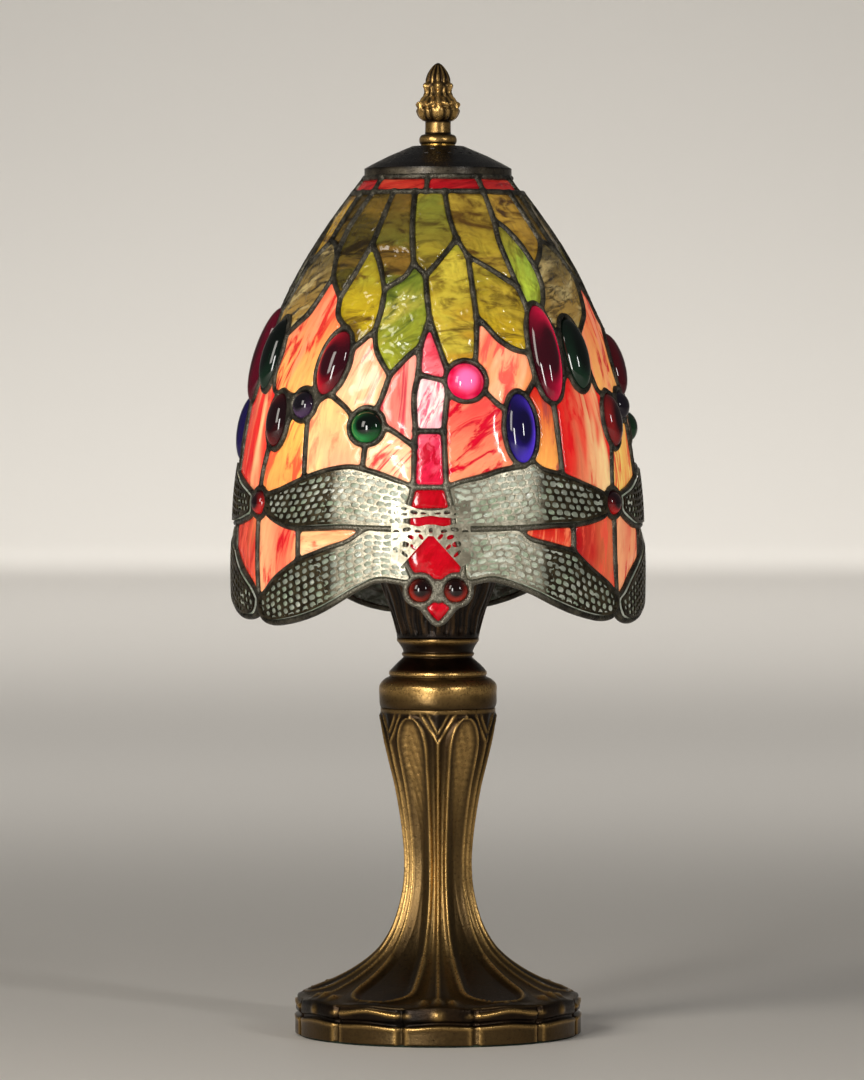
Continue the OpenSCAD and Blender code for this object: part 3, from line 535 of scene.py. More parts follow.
def art_glass(name, roughness, painted_glow, ripple_scale, soft=0.06):
    """Streaky opalescent glass with a painted glow that stands in for light from behind. Its colours
    come from the pane's attributes.
    """
    mat, nt, shader = new_material(name, roughness)
    flow = attribute_node(nt, "flow", "Vector")
    wide = noise_node(nt, flow, 0.5, 3, 0.5, 0.5)
    streak = noise_node(nt, flow, 1.0, 6, 0.62, 0.9)
    thin = noise_node(nt, flow, 3.1, 4, 0.6, 0.4)
    ground, cloud, vein = (attribute_node(nt, key, "Color") for key in ("ground", "cloud", "streak"))
    colour = blend_colour(nt, ramp(nt, wide, 0.46, 0.62), ground, cloud)
    colour = blend_colour(nt, ramp(nt, streak, 0.56 - soft, 0.56 + soft), colour, vein)
    shades = {key: ramp(nt, thin, 0.3, 0.7, low, 1.0)
              for key, low in (("Red", 0.86), ("Green", 0.80), ("Blue", 0.80))}
    tint = add(nt, "ShaderNodeCombineColor", shades).outputs["Color"]
    colour = blend_colour(nt, 1.0, colour, tint, "MULTIPLY")
    nt.links.new(colour, shader.inputs["Base Color"])
    # Painted glow: the pane's colour is emitted as if lit from behind, much weaker on the faces inside
    # the shade.
    lit = blend_colour(nt, attribute_node(nt, "lit"), (0, 0, 0, 1), colour)
    nt.links.new(lit, shader.inputs["Emission Color"])
    shader.inputs["Emission Strength"].default_value = painted_glow
    coords = object_coords(nt)
    ripple = noise_node(nt, coords, ripple_scale, 2, 0.5, 0.6)
    deep = maths(nt, "MULTIPLY", ripple, attribute_node(nt, "ripple"))
    bump(nt, shader, [(deep, 1.0), (noise_node(nt, coords, 90, 2, 0.5), 0.08)], 0.003)
    nt.links.new(ramp(nt, thin, 0.2, 0.8, roughness - 0.04, roughness + 0.06),
                 shader.inputs["Roughness"])
    return mat


def jewel_glass():
    """Pressed glass jewels: nearly black in the middle, with painted light through one side of the rim
    and a painted glow.
    """
    mat, nt, shader = new_material("jewel_glass", 0.05)
    coords = object_coords(nt)
    fine = noise_node(nt, coords, 500, 3, 0.5)
    rim = maths(nt, "MULTIPLY", attribute_node(nt, "edge"),
                ramp(nt, noise_node(nt, coords, 160, 2), 0.3, 0.6, 0.7, 1.0))
    # The streak colour here is the painted bright colour of light through the rim.
    colour = blend_colour(nt, rim, attribute_node(nt, "ground", "Color"),
                          attribute_node(nt, "streak", "Color"))
    nt.links.new(colour, shader.inputs["Base Color"])
    nt.links.new(colour, shader.inputs["Emission Color"])
    # Painted glow: the jewel's colour is also emitted.
    shader.inputs["Emission Strength"].default_value = 0.75
    nt.links.new(ramp(nt, fine, 0.2, 0.8, 0.03, 0.08), shader.inputs["Roughness"])
    bump(nt, shader, [(fine, 0.03)], 0.0004)
    return mat


# ---- the glass panes
# Each row: angle, height, first and last ground colour, streak, cloud, the streaks' lean, width and
# length, and where the ground runs: 0 downwards, 90 to the right.
LEAF_PANES = [
    (-41, 291, (62, 50, 18), (84, 76, 26), (34, 26, 10), (106, 84, 30), 84, 6, 15, 0),
    (-21, 290, (88, 68, 26), (98, 104, 36), (48, 34, 14), (120, 92, 34), 84, 6, 15, 0),
    (-4, 296, (110, 112, 38), (123, 106, 34), (70, 59, 21), (142, 127, 38), 86, 6, 15, 0),
    (21, 293, (119, 95, 32), (167, 146, 42), (78, 55, 19), (155, 131, 45), 95, 6, 15, 0),
    (37, 280, (140, 124, 40), (178, 202, 62), (100, 97, 29), (151, 172, 57), 20, 6, 15, 0),
    (45, 297, (122, 90, 29), (154, 120, 40), (70, 46, 18), (166, 131, 48), 95, 6, 15, 0),
    (63, 297, (66, 52, 20), (84, 68, 24), (38, 28, 12), (100, 78, 30), 90, 6, 15, 0),
    (55, 271, (92, 82, 50), (158, 126, 60), (49, 40, 24), (175, 155, 101), 70, 3, 10, 0),
    (-30, 268, (134, 122, 32), (193, 166, 27), (88, 65, 19), (158, 149, 40), 82, 6, 15, 0),
    (-13, 265, (98, 112, 34), (152, 156, 44), (60, 72, 24), (174, 164, 66), 60, 6, 15, 0),
    (6, 265, (151, 147, 43), (179, 132, 35), (93, 73, 22), (186, 168, 56), 86, 6, 15, 0),
    (23, 267, (134, 122, 34), (187, 155, 29), (82, 63, 17), (174, 151, 48), 95, 6, 15, 0),
    (-53, 275, (52, 48, 17), (122, 114, 46), (34, 29, 12), (84, 77, 29), 80, 6, 15, 0),
]
SKY_PANES = [
    (-49, 250, (234, 96, 66), (250, 178, 96), (206, 46, 38), (248, 146, 104), 8, 6, 30, 0),
    (-24, 239, (252, 176, 138), (252, 196, 142), (236, 112, 92), (252, 214, 170), 22, 4, 34, 0),
    (-11, 233, (228, 110, 98), (232, 122, 106), (200, 66, 74), (244, 158, 138), 4, 3.5, 34, 0),
    (-15, 214, (250, 198, 150), (250, 188, 144), (216, 70, 66), (252, 214, 170), 40, 4, 26, 0),
    (-32, 221, (250, 194, 124), (250, 172, 130), (240, 140, 100), (252, 208, 138), 6, 7, 30, 0),
    (-52, 213, (248, 184, 86), (248, 160, 82), (230, 92, 56), (250, 204, 104), 12, 5, 26, 0),
    (20, 244, (246, 128, 98), (250, 160, 94), (230, 92, 78), (252, 176, 132), 18, 5, 28, 0),
    (12, 221, (222, 70, 66), (240, 146, 104), (198, 8, 38), (240, 132, 100), 50, 5, 16, 0),
    (32, 224, (200, 14, 18), (248, 170, 84), (168, 70, 62), (212, 26, 22), 4, 5, 30, 0),
    (52, 223, (204, 0, 14), (252, 216, 150), (214, 20, 24), (228, 40, 34), 4, 8, 44, 90),
    (-32, 184, (250, 190, 130), (252, 200, 148), (236, 118, 84), (250, 172, 118), 80, 4, 22, 0),
    (-54, 180, (248, 172, 120), (222, 60, 52), (200, 24, 34), (246, 160, 108), 12, 5, 34, 90),
    (33, 185, (190, 30, 22), (214, 66, 44), (232, 118, 78), (178, 18, 18), 12, 4, 28, 0),
    (52, 181, (168, 8, 18), (210, 108, 66), (226, 84, 60), (186, 20, 26), 14, 6, 36, 90),
]
BODY_PANES = [
    (-2, 249, (212, 52, 74), (218, 62, 80), (188, 28, 50), (230, 112, 120), 60, 3, 8, 0),
    (-2, 232, (240, 190, 192), (236, 176, 182), (216, 100, 124), (252, 222, 214), 20, 3, 12, 0),
    (-3, 213, (206, 40, 76), (204, 24, 58), (178, 8, 36), (226, 92, 112), 40, 4, 8, 0),
    (-2, 198, (171, 0, 21), (173, 0, 19), (158, 0, 14), (180, 2, 26), 30, 5, 12, 0),
    (-2, 190, (171, 0, 21), (173, 0, 19), (158, 0, 14), (180, 2, 26), 30, 5, 12, 0),
    (0, 174, (175, 0, 21), (177, 0, 19), (162, 0, 14), (182, 2, 24), 30, 5, 12, 0),
    (0, 159, (164, 1, 19), (169, 4, 22), (149, 0, 14), (182, 10, 29), 60, 5, 9, 0),
]
WING_PANES = [(0, 180, (186, 193, 177), (179, 188, 166), (154, 169, 143), (201, 206, 190), 75, 4, 12, 0)]
BORDER_PANES = [
    (-27, 311, (158, 34, 24), (166, 46, 32), (132, 18, 18), (188, 74, 52), 80, 2.5, 14, 0),
    (12, 311, (140, 8, 18), (146, 14, 22), (118, 4, 12), (160, 28, 30), 80, 2.5, 16, 0),
    (51, 311, (152, 22, 24), (160, 32, 28), (126, 10, 16), (182, 62, 46), 80, 2.5, 14, 0),
]


PANE_STEP = 1.6 * MM
PANE_FRONT = 0.8 * MM
PANE_BACK = 2.7 * MM
PANE_OVERLAP = 0.5 * MM
# How wide the rounded border of a pane is, and how far it drops at its edge
PILLOW_WIDTH, PILLOW_DROP = 1.6 * MM, 0.5 * MM
# The streaks' random turn in degrees, and the wave length and depth of their bow
STREAK_TURN = 8
BOW_WAVE, BOW_DEPTH = 14 * MM, 1.2 * MM
# Painted shade on the panes' inner faces: how much darker they are inside the shade, and how much less
# painted glow they have there
INNER_PAINTED_SHADE, INNER_WING_PAINTED_SHADE, INNER_PAINTED_GLOW = 0.75, 0.22, 0.12
# The wings' painted highlight ends, and they turn dark, this many degrees from the insect's middle.
PAINTED_BRIGHT_SPAN = 30.0


def nearest(table, angle, z):
    """The table row whose angle and height, its first two values, lie nearest to a place."""
    return min(table, key=lambda row: abs(local_angle(angle - math.radians(row[0])))
               + abs(row[1] - z / MM))


def ripple_field(x, y, rng, wave):
    """Soft random waves over flat positions, about -1 to 1."""
    total = np.zeros_like(x)
    for _ in range(5):
        turn = rng.uniform(0, math.pi)
        length = wave * rng.uniform(0.7, 1.5)
        total += np.sin((x * math.cos(turn) + y * math.sin(turn)) * 2 * math.pi / length
                        + rng.uniform(0, 6.28))
    return total / 3


def glass_panes(name, node, slot, table, material, ripple, rng, wave=9 * MM, lift=0.12 * MM,
                flatten=0.35):
    """All of a CAD node's panes as one object: rippled sheets whose edges reach under the lead."""
    pile = Pile()
    is_wing = table is WING_PANES
    for ring in outlines(node):
        mid_angle, mid_run = ring.mean(axis=0)
        height = float(height_at(mid_run))
        radius = float(skin_radius(height))
        flat = grow((ring - [mid_angle, 0]) * [radius, 1], PANE_OVERLAP)
        points, tris = fill_flat(flat, PANE_STEP)
        x, y = points.T
        angle, z, count = x / radius + mid_angle, height_at(y), len(x)
        pillow = 1 - bell(inside(flat, points)[1], PILLOW_WIDTH)
        waves = ripple_field(x, y, rng, wave) * lift * pillow
        sheets = [on_skin(angle, z, PANE_FRONT + PILLOW_DROP * (1 - pillow) - waves),
                  on_skin(angle, z, np.full(count, PANE_BACK))]
        plane = np.linalg.svd(sheets[0] - sheets[0].mean(axis=0), full_matrices=False)[2][2]
        for sheet in sheets:
            sheet -= np.outer((sheet - sheet.mean(axis=0)) @ plane, plane) * flatten
        _, _, top, low, streak, cloud, lean, width, length, run_to = nearest(table, mid_angle, height)
        course = y if run_to == 0 else -x
        share = smoothstep(course.min(), course.max(), course)[:, None]
        ground = np.array(rgb(*low)) * (1 - share) + np.array(rgb(*top)) * share
        if is_wing:
            # Painted highlight: the wing glass stays lighter near the insect's body and darkens beyond
            # the span.
            outer = np.abs(local_angle(angle))
            ground = ground * (1 - 0.42 * smoothstep(PAINTED_BRIGHT_SPAN - 3, PAINTED_BRIGHT_SPAN, outer))[:, None]
        turn = math.radians(lean + rng.uniform(-STREAK_TURN, STREAK_TURN))
        bow = np.sin(y / BOW_WAVE + rng.uniform(0, 6)) * BOW_DEPTH
        across = x * math.cos(turn) - y * math.sin(turn) + bow
        along = x * math.sin(turn) + y * math.cos(turn)
        seed = np.full(count, rng.uniform(0, 90))
        flow = np.stack([across / (width * MM), along / (length * MM), seed], -1)
        # Painted shade: the faces inside the shade get darker copies of the pane's colours.
        inside_painted_shade = INNER_WING_PAINTED_SHADE if is_wing else INNER_PAINTED_SHADE
        tones = {"ground": ground, "streak": painted(streak, count), "cloud": painted(cloud, count)}
        both = {key: np.vstack([tone, tone * inside_painted_shade]) for key, tone in tones.items()}
        pile.add(*thicken(*sheets, tris), flow=np.vstack([flow, flow]),
                 lit=np.repeat([1, INNER_PAINTED_GLOW], count), ripple=np.full(2 * count, ripple), **both)
    place(pile.build(name), "shade", material, node)


# ---- the lead lines
LEAD_HALF, LEAD_HALF_DEPTH = 1.2 * MM, 1.75 * MM
LEAD_MIDDLE = 1.5 * MM
SHORTEST_LINE = 0.4 * MM
SOLDER_SIZES = (1.45, 1.8)
SOLDER_MIDDLE, SOLDER_HALF_DEPTH = 1.45 * MM, 1.85 * MM
LEAD_VOXEL = 0.5 * MM
# The lead gets a painted highlight within the first angle from an insect's middle and below the first
# height.
HIGHLIGHT_ANGLES, HIGHLIGHT_HEIGHTS = (26, 34), (0.203, 0.208)
# Angles are multiplied by this where lines are smoothed, to weigh about as much as heights.
ANGLE_SCALE = 0.06


def lead_chains():
    """The lines of the lead net from joint to joint, and the joints, as rows of [angle, height]."""
    points, faces = weld("lead_work")
    depth, angle, z = skin_depth(points)
    on = np.abs(depth) < 0.02 * MM
    near = {}
    for a, b in edges_of([tuple(tri) for tri in faces.tolist()]):
        if on[a] and on[b]:
            near.setdefault(a, set()).add(b)
            near.setdefault(b, set()).add(a)

    def walk(start, step):
        """The line from a start until it meets a joint or comes round again."""
        chain = [start, step]
        while len(near[chain[-1]]) == 2 and chain[-1] != start:
            chain.append(next(p for p in near[chain[-1]] if p != chain[-2]))
        return chain

    joints = [p for p in near if len(near[p]) != 2]
    used, chains = set(), []
    for start in joints:
        for step in near[start]:
            if (start, step) not in used:
                chain = walk(start, step)
                used.update([(start, step), (chain[-1], chain[-2])])
                chains.append(chain)
    done = {p for chain in chains for p in chain}
    for start in near:
        if start not in done:
            chain = walk(start, next(iter(near[start])))
            done.update(chain)
            chains.append(chain)
    lines = [np.stack([np.unwrap(angle[c]), z[c]], -1) for c in chains]
    return lines, np.stack([angle[joints], z[joints]], -1)


def tube(centre, normal, half_width, half_depth, sides=10):
    """A closed elliptical tube along a line: its corners and faces."""
    ahead = np.gradient(centre, axis=0)
    ahead /= np.linalg.norm(ahead, axis=1, keepdims=True)
    side = np.cross(ahead, normal)
    side /= np.linalg.norm(side, axis=1, keepdims=True)
    turn = np.linspace(0, 2 * math.pi, sides, endpoint=False)
    half_width = np.broadcast_to(half_width, len(centre))[:, None, None]
    rings = (centre[:, None] + side[:, None] * half_width * np.cos(turn)[:, None]
             + normal[:, None] * half_depth * np.sin(turn)[:, None])
    faces = ring_quads(len(centre), sides)
    faces.append(tuple(range(sides))[::-1])
    faces.append(tuple((len(centre) - 1) * sides + j for j in range(sides)))
    return rings.reshape(-1, 3), faces


def lead_work(material, rng):
    """The lead lines as rounded beads, with a lump of solder at each joint, melted into one."""
    lines, joints = lead_chains()
    pile = Pile()
    for line in lines:
        flat = np.stack([line[:, 0] * skin_radius(line[:, 1]), run_at(line[:, 1])], -1)
        if length_along(flat)[-1] < SHORTEST_LINE:
            continue
        angle, z = (curve_through(line * [ANGLE_SCALE, 1], 1.1 * MM) / [ANGLE_SCALE, 1]).T
        count = len(angle)
        wobble = 1 + 0.10 * np.interp(np.arange(count), np.linspace(0, count, 8), rng.uniform(-1, 1, 8))
        pile.add(*tube(on_skin(angle, z, LEAD_MIDDLE), skin_normal(angle, z), LEAD_HALF * wobble,
                       LEAD_HALF_DEPTH))
    ball = bmesh.new()
    bmesh.ops.create_icosphere(ball, subdivisions=2, radius=1)
    unit = np.array([v.co for v in ball.verts])
    tris = [tuple(v.index for v in f.verts) for f in ball.faces]
    ball.free()
    for angle, z in joints:
        normal = skin_normal(angle, z)
        along = np.outer(unit @ normal, normal)
        size = rng.uniform(*SOLDER_SIZES) * MM
        pile.add(on_skin(angle, z, SOLDER_MIDDLE) + (unit - along) * size
                 + along * SOLDER_HALF_DEPTH, tris)
    obj = pile.build("lead_lines")
    remesh = obj.modifiers.new("remesh", "REMESH")
    remesh.mode = "VOXEL"
    remesh.voxel_size = LEAD_VOXEL
    soften = obj.modifiers.new("soften", "SMOOTH")
    soften.iterations = 3
    soften.factor = 0.5
    depsgraph = bpy.context.evaluated_depsgraph_get()
    mesh = bpy.data.meshes.new_from_object(obj.evaluated_get(depsgraph))
    obj.modifiers.clear()
    obj.data = mesh
    shade_smooth(mesh)
    corners = np.empty(len(mesh.vertices) * 3)
    mesh.vertices.foreach_get("co", corners)
    _, angle, z = skin_depth(corners.reshape(-1, 3))
    # Painted highlight on the lead near each insect's body, shown in the lighter polish colour.
    near_body = 1 - smoothstep(*HIGHLIGHT_ANGLES, np.abs(local_angle(angle)))
    set_attribute(obj, "wear_and_highlight", near_body * (1 - smoothstep(*HIGHLIGHT_HEIGHTS, z)))
    place(obj, "shade", material, "lead_work")


# ---- jewels
# Each row: angle, height, deep colour, the painted bright colour of light through the rim, and the
# side that the bright one is on, or None where it goes all the way round.
ROUND_TONES = [
    (-21, 224, (3, 9, 5), (30, 120, 56), 215),
    (-45, 231, (12, 8, 14), (66, 44, 74), 250),
    (9, 240, (250, 96, 150), (190, 0, 54), None),
    (-61, 196, (18, 4, 7), (160, 22, 20), 300),
]
OVAL_TONES = [
    (-56, 226, (20, 5, 8), (104, 18, 18), 200),
    (-35, 246, (38, 4, 12), (186, 14, 34), 190),
    (25, 223, (10, 5, 40), (70, 44, 190), 340),
    (37, 250, (40, 4, 12), (244, 14, 72), 5),
    (51, 250, (3, 6, 4), (14, 34, 22), 250),
]
EYE_TONES = [(-5, 165, (14, 3, 3), (128, 26, 14), 230), (5, 165, (14, 3, 3), (128, 26, 14), 280)]
# Jewels between these angles from the front get painted shade: their bright colour is dimmed.
PAINTED_SHADE_FROM, PAINTED_SHADE_TO, PAINTED_SHADE_SHARE = 70, 100, 0.3
JEWEL_STEPS, JEWEL_ROWS = 56, 18
JEWEL_WALL = 1.6 * MM


def jewels(name, node, material, tones):
    """Smooth domed jewels in the place and at the size of the CAD ones."""
    points, tris = weld(node)
    label = islands(len(points), tris)
    turn = np.linspace(0, 2 * math.pi, JEWEL_STEPS, endpoint=False)
    rise = np.linspace(math.pi / 2, 0, JEWEL_ROWS)
    share = np.append(np.cos(rise), [0.96, 0.5])[1:]
    rings = len(share)
    tip = rings * JEWEL_STEPS
    faces = [quad[::-1] for quad in ring_quads(rings, JEWEL_STEPS)]
    faces += [(tip, j, (j + 1) % JEWEL_STEPS) for j in range(JEWEL_STEPS)]
    faces.append(tuple(range(tip - JEWEL_STEPS, tip))[::-1])
    pile = Pile()
    for part in np.unique(label):
        mine = points[label == part]
        centre = (mine.max(axis=0) + mine.min(axis=0)) / 2
        _, mid_angle, mid_z = (v[0] for v in skin_depth(centre[None]))
        normal = skin_normal(mid_angle, mid_z)
        across = np.array([math.cos(mid_angle), math.sin(mid_angle), 0])
        upward = np.cross(normal, across)
        u, v, w = ((mine - centre) @ axis for axis in (across, upward, normal))
        lean = np.linalg.eigh(np.cov(np.stack([u, v])))[1][:, 1]
        if lean[1] < 0:
            lean = -lean
        is_round = np.ptp(u) / np.ptp(v) > 0.85
        long_axis = upward if is_round else lean[0] * across + lean[1] * upward
        short_axis = np.cross(long_axis, normal)
        a = np.abs((mine - centre) @ short_axis).max()
        b = np.abs((mine - centre) @ long_axis).max()
        bottom, wall_top = w.min(), w.min() + JEWEL_WALL
        lift = np.append(wall_top + (w.max() - wall_top) * np.sin(rise), [bottom, bottom])
        ring = (centre + lift[1:, None, None] * normal
                + share[:, None, None] * (a * np.cos(turn)[:, None] * short_axis
                                          + b * np.sin(turn)[:, None] * long_axis))
        corners = np.vstack([ring.reshape(-1, 3), centre + lift[0] * normal])
        _, _, core, bright, side = nearest(tones, mid_angle, mid_z)
        # Painted light: the bright colour fills a band inside the rim, all round or on one side.
        if side is None:
            facing = np.ones(JEWEL_STEPS)
            band = smoothstep(0.3, 0.85, share)
        else:
            facing = (0.5 + 0.5 * np.cos(turn - math.radians(side)))**1.4
            band = smoothstep(0.4, 0.82, share) * (1 - 0.4 * smoothstep(0.94, 1.0, share))
        # Painted shade on the jewels towards the sides.
        if PAINTED_SHADE_FROM < abs(math.degrees(mid_angle)) < PAINTED_SHADE_TO:
            bright = [PAINTED_SHADE_SHARE * c for c in bright]
        pile.add(corners, faces, edge=np.append(np.outer(band, facing), 0),
                 ground=painted(core, tip + 1), streak=painted(bright, tip + 1))
    place(pile.build(name), "shade", material, node)


# ---- filigree over the wings
FILIGREE_TOP = -0.75 * MM
FILIGREE_BACK = -0.2 * MM
FILIGREE_PITCH = 0.36 * MM
FILIGREE_CROWN = 0.14 * MM
LACE_LIFT = 0.25 * MM
# The dome's radius where the wings lie, to compare angles with runs: a round one, and the exact one
WING_RADIUS = 0.075
WING_PLATE_RADIUS = 0.0745
# The height between a pair of wings
WING_PARTING = 0.185


def wing_ribbon(ring):
    """The two long edges of a wing's outline, from root to tip, as matching rows of [angle, run]."""
    count = len(ring) // 2
    flat = ring * [WING_RADIUS, 1]
    best = min(range(len(ring)), key=lambda k: sum(
        math.dist(flat[(k + i) % len(ring)], flat[(k - 1 - i) % len(ring)]) for i in range(count)))
    one = np.array([ring[(best + i) % len(ring)] for i in range(count)])
    two = np.array([ring[(best - 1 - i) % len(ring)] for i in range(count)])
    if abs(local_angle(one[0, 0])) > abs(local_angle(one[-1, 0])):
        one, two = one[::-1], two[::-1]
    if one[count // 2, 1] < two[count // 2, 1]:
        one, two = two, one
    return one, two


def resample(line, count):
    """A smooth line of [angle, run] through the given ones, with evenly spaced points."""
    line = curve_through(line * [WING_RADIUS, 1], 1 * MM)
    run = length_along(line)
    at = np.linspace(0, run[-1], count)
    return np.stack([np.interp(at, run, column) for column in line.T], -1) / [WING_RADIUS, 1]


def clip_net(field, points):
    """The part of a grid's faces where the field is above zero, cut cleanly at its edge."""
    rows, columns = field.shape
    index = np.arange(rows * columns).reshape(rows, columns)
    value = field.ravel()
    verts = [tuple(p) for p in points.reshape(-1, points.shape[-1])]
    cuts, faces = {}, []

    def cut(a, b):
        key = (min(a, b), max(a, b))
        if key not in cuts:
            t = min(max(value[a] / (value[a] - value[b]), 0.02), 0.98)
            verts.append(tuple(p + (q - p) * t for p, q in zip(verts[a], verts[b])))
            cuts[key] = len(verts) - 1
        return cuts[key]

    for i in range(rows - 1):
        for j in range(columns - 1):
            quad = (index[i, j], index[i, j + 1], index[i + 1, j + 1], index[i + 1, j])
            solid = [value[q] > 0 for q in quad]
            if all(solid):
                faces.append(quad)
            elif any(solid):
                for tri in (quad[:3], (quad[0], quad[2], quad[3])):
                    shape = []
                    for a, b in zip(tri, tri[1:] + tri[:1]):
                        if value[a] > 0:
                            shape.append(a)
                        if (value[a] > 0) != (value[b] > 0):
                            shape.append(cut(a, b))
                    if len(shape) > 2:
                        faces.append(tuple(shape))
    used = sorted({i for face in faces for i in face})
    renumber = {old: new for new, old in enumerate(used)}
    return np.array([verts[i] for i in used]), [tuple(renumber[i] for i in f) for f in faces]


def cell_field(s, t, half, length, rng, upper):
    """Above zero on the metal of a wing's net, below in its cells. All in millimetres.

    s runs along the wing, t across it from its middle line."""
    # The half nearer the insect's body, under the painted highlight, has its own cell sizes.
    bright = s < length * 0.5
    row_pitch = np.where(bright, 2.35, 2.5)
    cell_pitch = np.where(bright, 3.6, 3.5)
    jitter = rng.uniform(-1, 1, (40, 60, 4))
    row = np.round(t / row_pitch).astype(int)
    start = (row % 2) * 0.5 + 0.13 * row
    column = np.round(s / cell_pitch - start).astype(int)
    j = jitter[row % 40, column % 60]
    ds = s - (column + start) * cell_pitch - j[..., 0] * 0.25
    dt = t - row * row_pitch - j[..., 1] * 0.12 - ds * 0.10 * j[..., 2]
    half_length = cell_pitch * np.where(bright, 0.43, 0.41) * (1 + 0.14 * j[..., 3])
    half_height = row_pitch * 0.39 * (1 + 0.10 * j[..., 2])
    cell = (np.abs(ds) / half_length)**2.6 + (np.abs(dt) / half_height)**2.6 - 1
    edge = 1.0 - (half - np.abs(t))
    ends = np.maximum(0.8 - s, 1.2 - (length - s))
    band = 0.5 - np.abs(s - length * 0.5)
    metal = np.maximum(cell * 0.6, np.maximum(edge, np.maximum(ends, band * 0.8)))
    solid = 9
    for share, size in ((0.5, 0.42), (0.04, 0.40)):
        dots = np.hypot((s - length * share), (t % 2.1) - 1.05) - size
        metal = np.minimum(metal, np.where(np.abs(t) < half - 1.0, dots * 1.5, solid))
    side = 1 if upper else -1
    rim = np.hypot((s % 2.3) - 1.15, t - side * (half - 0.95)) - 0.38
    return np.minimum(metal, np.where(s < length * 0.9, rim * 1.5, solid))


# The lace over an insect's thorax: outlines and holes in millimetres right of the body and
# above the foot. A hole is a place, two half sizes and a lean, and has a mirrored twin.
LACE_MIDDLE = -2.0
LACE_PLATES = [
    ([(-14, 188.6), (-9.5, 189.2), (-4.5, 187.9), (-1.5, 188.6), (1.5, 188.6), (4.5, 187.9),
      (9.5, 189.2), (14, 188.6), (14, 175.5), (10.6, 173.6), (0.9, 184.6), (-0.9, 184.6),
      (-10.6, 173.6), (-14, 175.5)],
     [(8.4, 186.9, 1.5, 0.75, -8), (4.6, 186.3, 1.15, 0.6, 10), (6.9, 184.2, 1.35, 0.75, 20),
      (3.4, 184.3, 1.2, 0.65, 48), (9.1, 181.7, 1.6, 1.0, 10), (12.2, 186.0, 1.2, 0.8, 0),
      (12.3, 183.2, 1.2, 0.75, 0), (6.2, 180.7, 1.2, 0.6, 48), (9.3, 178.3, 1.7, 0.6, 42),
      (12.3, 179.7, 1.1, 0.9, 20), (0, 186.6, 0.75, 0.95, 0)]),
    ([(-14, 197.4), (-9, 195.8), (-4, 193.9), (0, 193.4), (4, 193.9), (9, 195.8), (14, 197.4),
      (14, 190.9), (9, 190.8), (4, 191.2), (0, 191.8), (-4, 191.2), (-9, 190.8), (-14, 190.9)],
     [(2.6, 192.6, 1.1, 0.42, 5), (5.9, 193.0, 1.35, 0.7, 12), (9.4, 194.3, 1.1, 0.6, 12),
      (9.3, 192.3, 1.2, 0.5, 0), (12.3, 195.3, 0.9, 0.6, 12), (12.3, 192.8, 0.9, 0.6, 0)]),
]


def lace_plate(outline, holes, centre):
    """A flat piece of lace on the dome's skin: rows of [angle, run, across] and its faces."""
    pitch, margin = 0.27, 0.5
    low, high = np.min(outline, axis=0), np.max(outline, axis=0)
    x, z = np.meshgrid(*(np.arange(low[k] - margin, high[k] + margin + 0.1, pitch) for k in (0, 1)),
                       indexing="ij")
    within, near = inside(np.array(outline, float), np.stack([x.ravel(), z.ravel()], -1))
    field = np.where(within, near, -near).reshape(x.shape)
    for place_x, place_z, a, b, lean in holes:
        for side in (-1, 1):
            dx, dz = (x - side * place_x), z - place_z
            turn = math.radians(side * lean)
            along = dx * math.cos(turn) + dz * math.sin(turn)
            across = dz * math.cos(turn) - dx * math.sin(turn)
            cell = (np.abs(along) / a)**2.5 + (np.abs(across) / b)**2.5 - 1
            field = np.minimum(field, cell * 0.5)
    angle = math.radians(centre + LACE_MIDDLE) + x / (WING_RADIUS / MM)
    return clip_net(field, np.stack([angle, run_at(z * MM), x * 0], -1))


def wing_net(ring, rng):
    """The pierced net over one wing: rows of [angle, run, across] and its faces."""
    upper_edge, lower_edge = wing_ribbon(ring)
    one, two = resample(upper_edge, 60), resample(lower_edge, 60)
    plate_scale = [WING_PLATE_RADIUS, 1]
    half_line = np.linalg.norm((one - two) * plate_scale, axis=1) / 2
    run = length_along((one + two) / 2 * plate_scale)
    length = run[-1]
    s, v = np.meshgrid(np.linspace(0, length, int(length / FILIGREE_PITCH)),
                       np.linspace(-1, 1, int(2 * half_line.max() / FILIGREE_PITCH)), indexing="ij")
    half = np.interp(s, run, half_line)
    net = cell_field(s / MM, v * half / MM, half / MM, length / MM, rng,
                     upper_edge[:, 1].mean() > run_at(WING_PARTING))
    share = (v + 1) / 2
    place_on = [np.interp(s, run, two[:, k]) * (1 - share) + np.interp(s, run, one[:, k]) * share
                for k in (0, 1)]
    return clip_net(net, np.stack(place_on + [v], -1))


def wing_filigree(number, centre, material, rng):
    """The four wing plates of one insect and the lace over its body, as one object."""
    pile = Pile()
    nets = [(wing_net(ring, rng), 0.0) for ring in outlines(f"wing_glass_{number}")]
    nets += [(lace_plate(outline, holes, centre), LACE_LIFT) for outline, holes in LACE_PLATES]
    for (flat, net), lift in nets:
        angle, z = flat[:, 0], height_at(flat[:, 1])
        crown = FILIGREE_CROWN * (1 - flat[:, 2]**2)
        front = on_skin(angle, z, FILIGREE_TOP - crown - lift)
        back = on_skin(angle, z, np.full(len(z), FILIGREE_BACK - lift))
        a, b, c = net[0][:3]
        out = np.cross(front[b] - front[a], front[c] - front[a])
        if out @ skin_normal(angle[a], z[a]) < 0:
            net = [face[::-1] for face in net]
        # Painted highlight: the filigree is bright near the insect's body.
        bright = 1 - smoothstep(PAINTED_BRIGHT_SPAN - 2.5, PAINTED_BRIGHT_SPAN + 1.5, np.abs(local_angle(angle)))
        pile.add(*thicken(front, back, net), bright=np.tile(bright, 2))
    obj = pile.build(f"filigree_{number}")
    shade_smooth(obj.data, False)
    place(obj, "shade", material, f"wing_filigree_{number}")


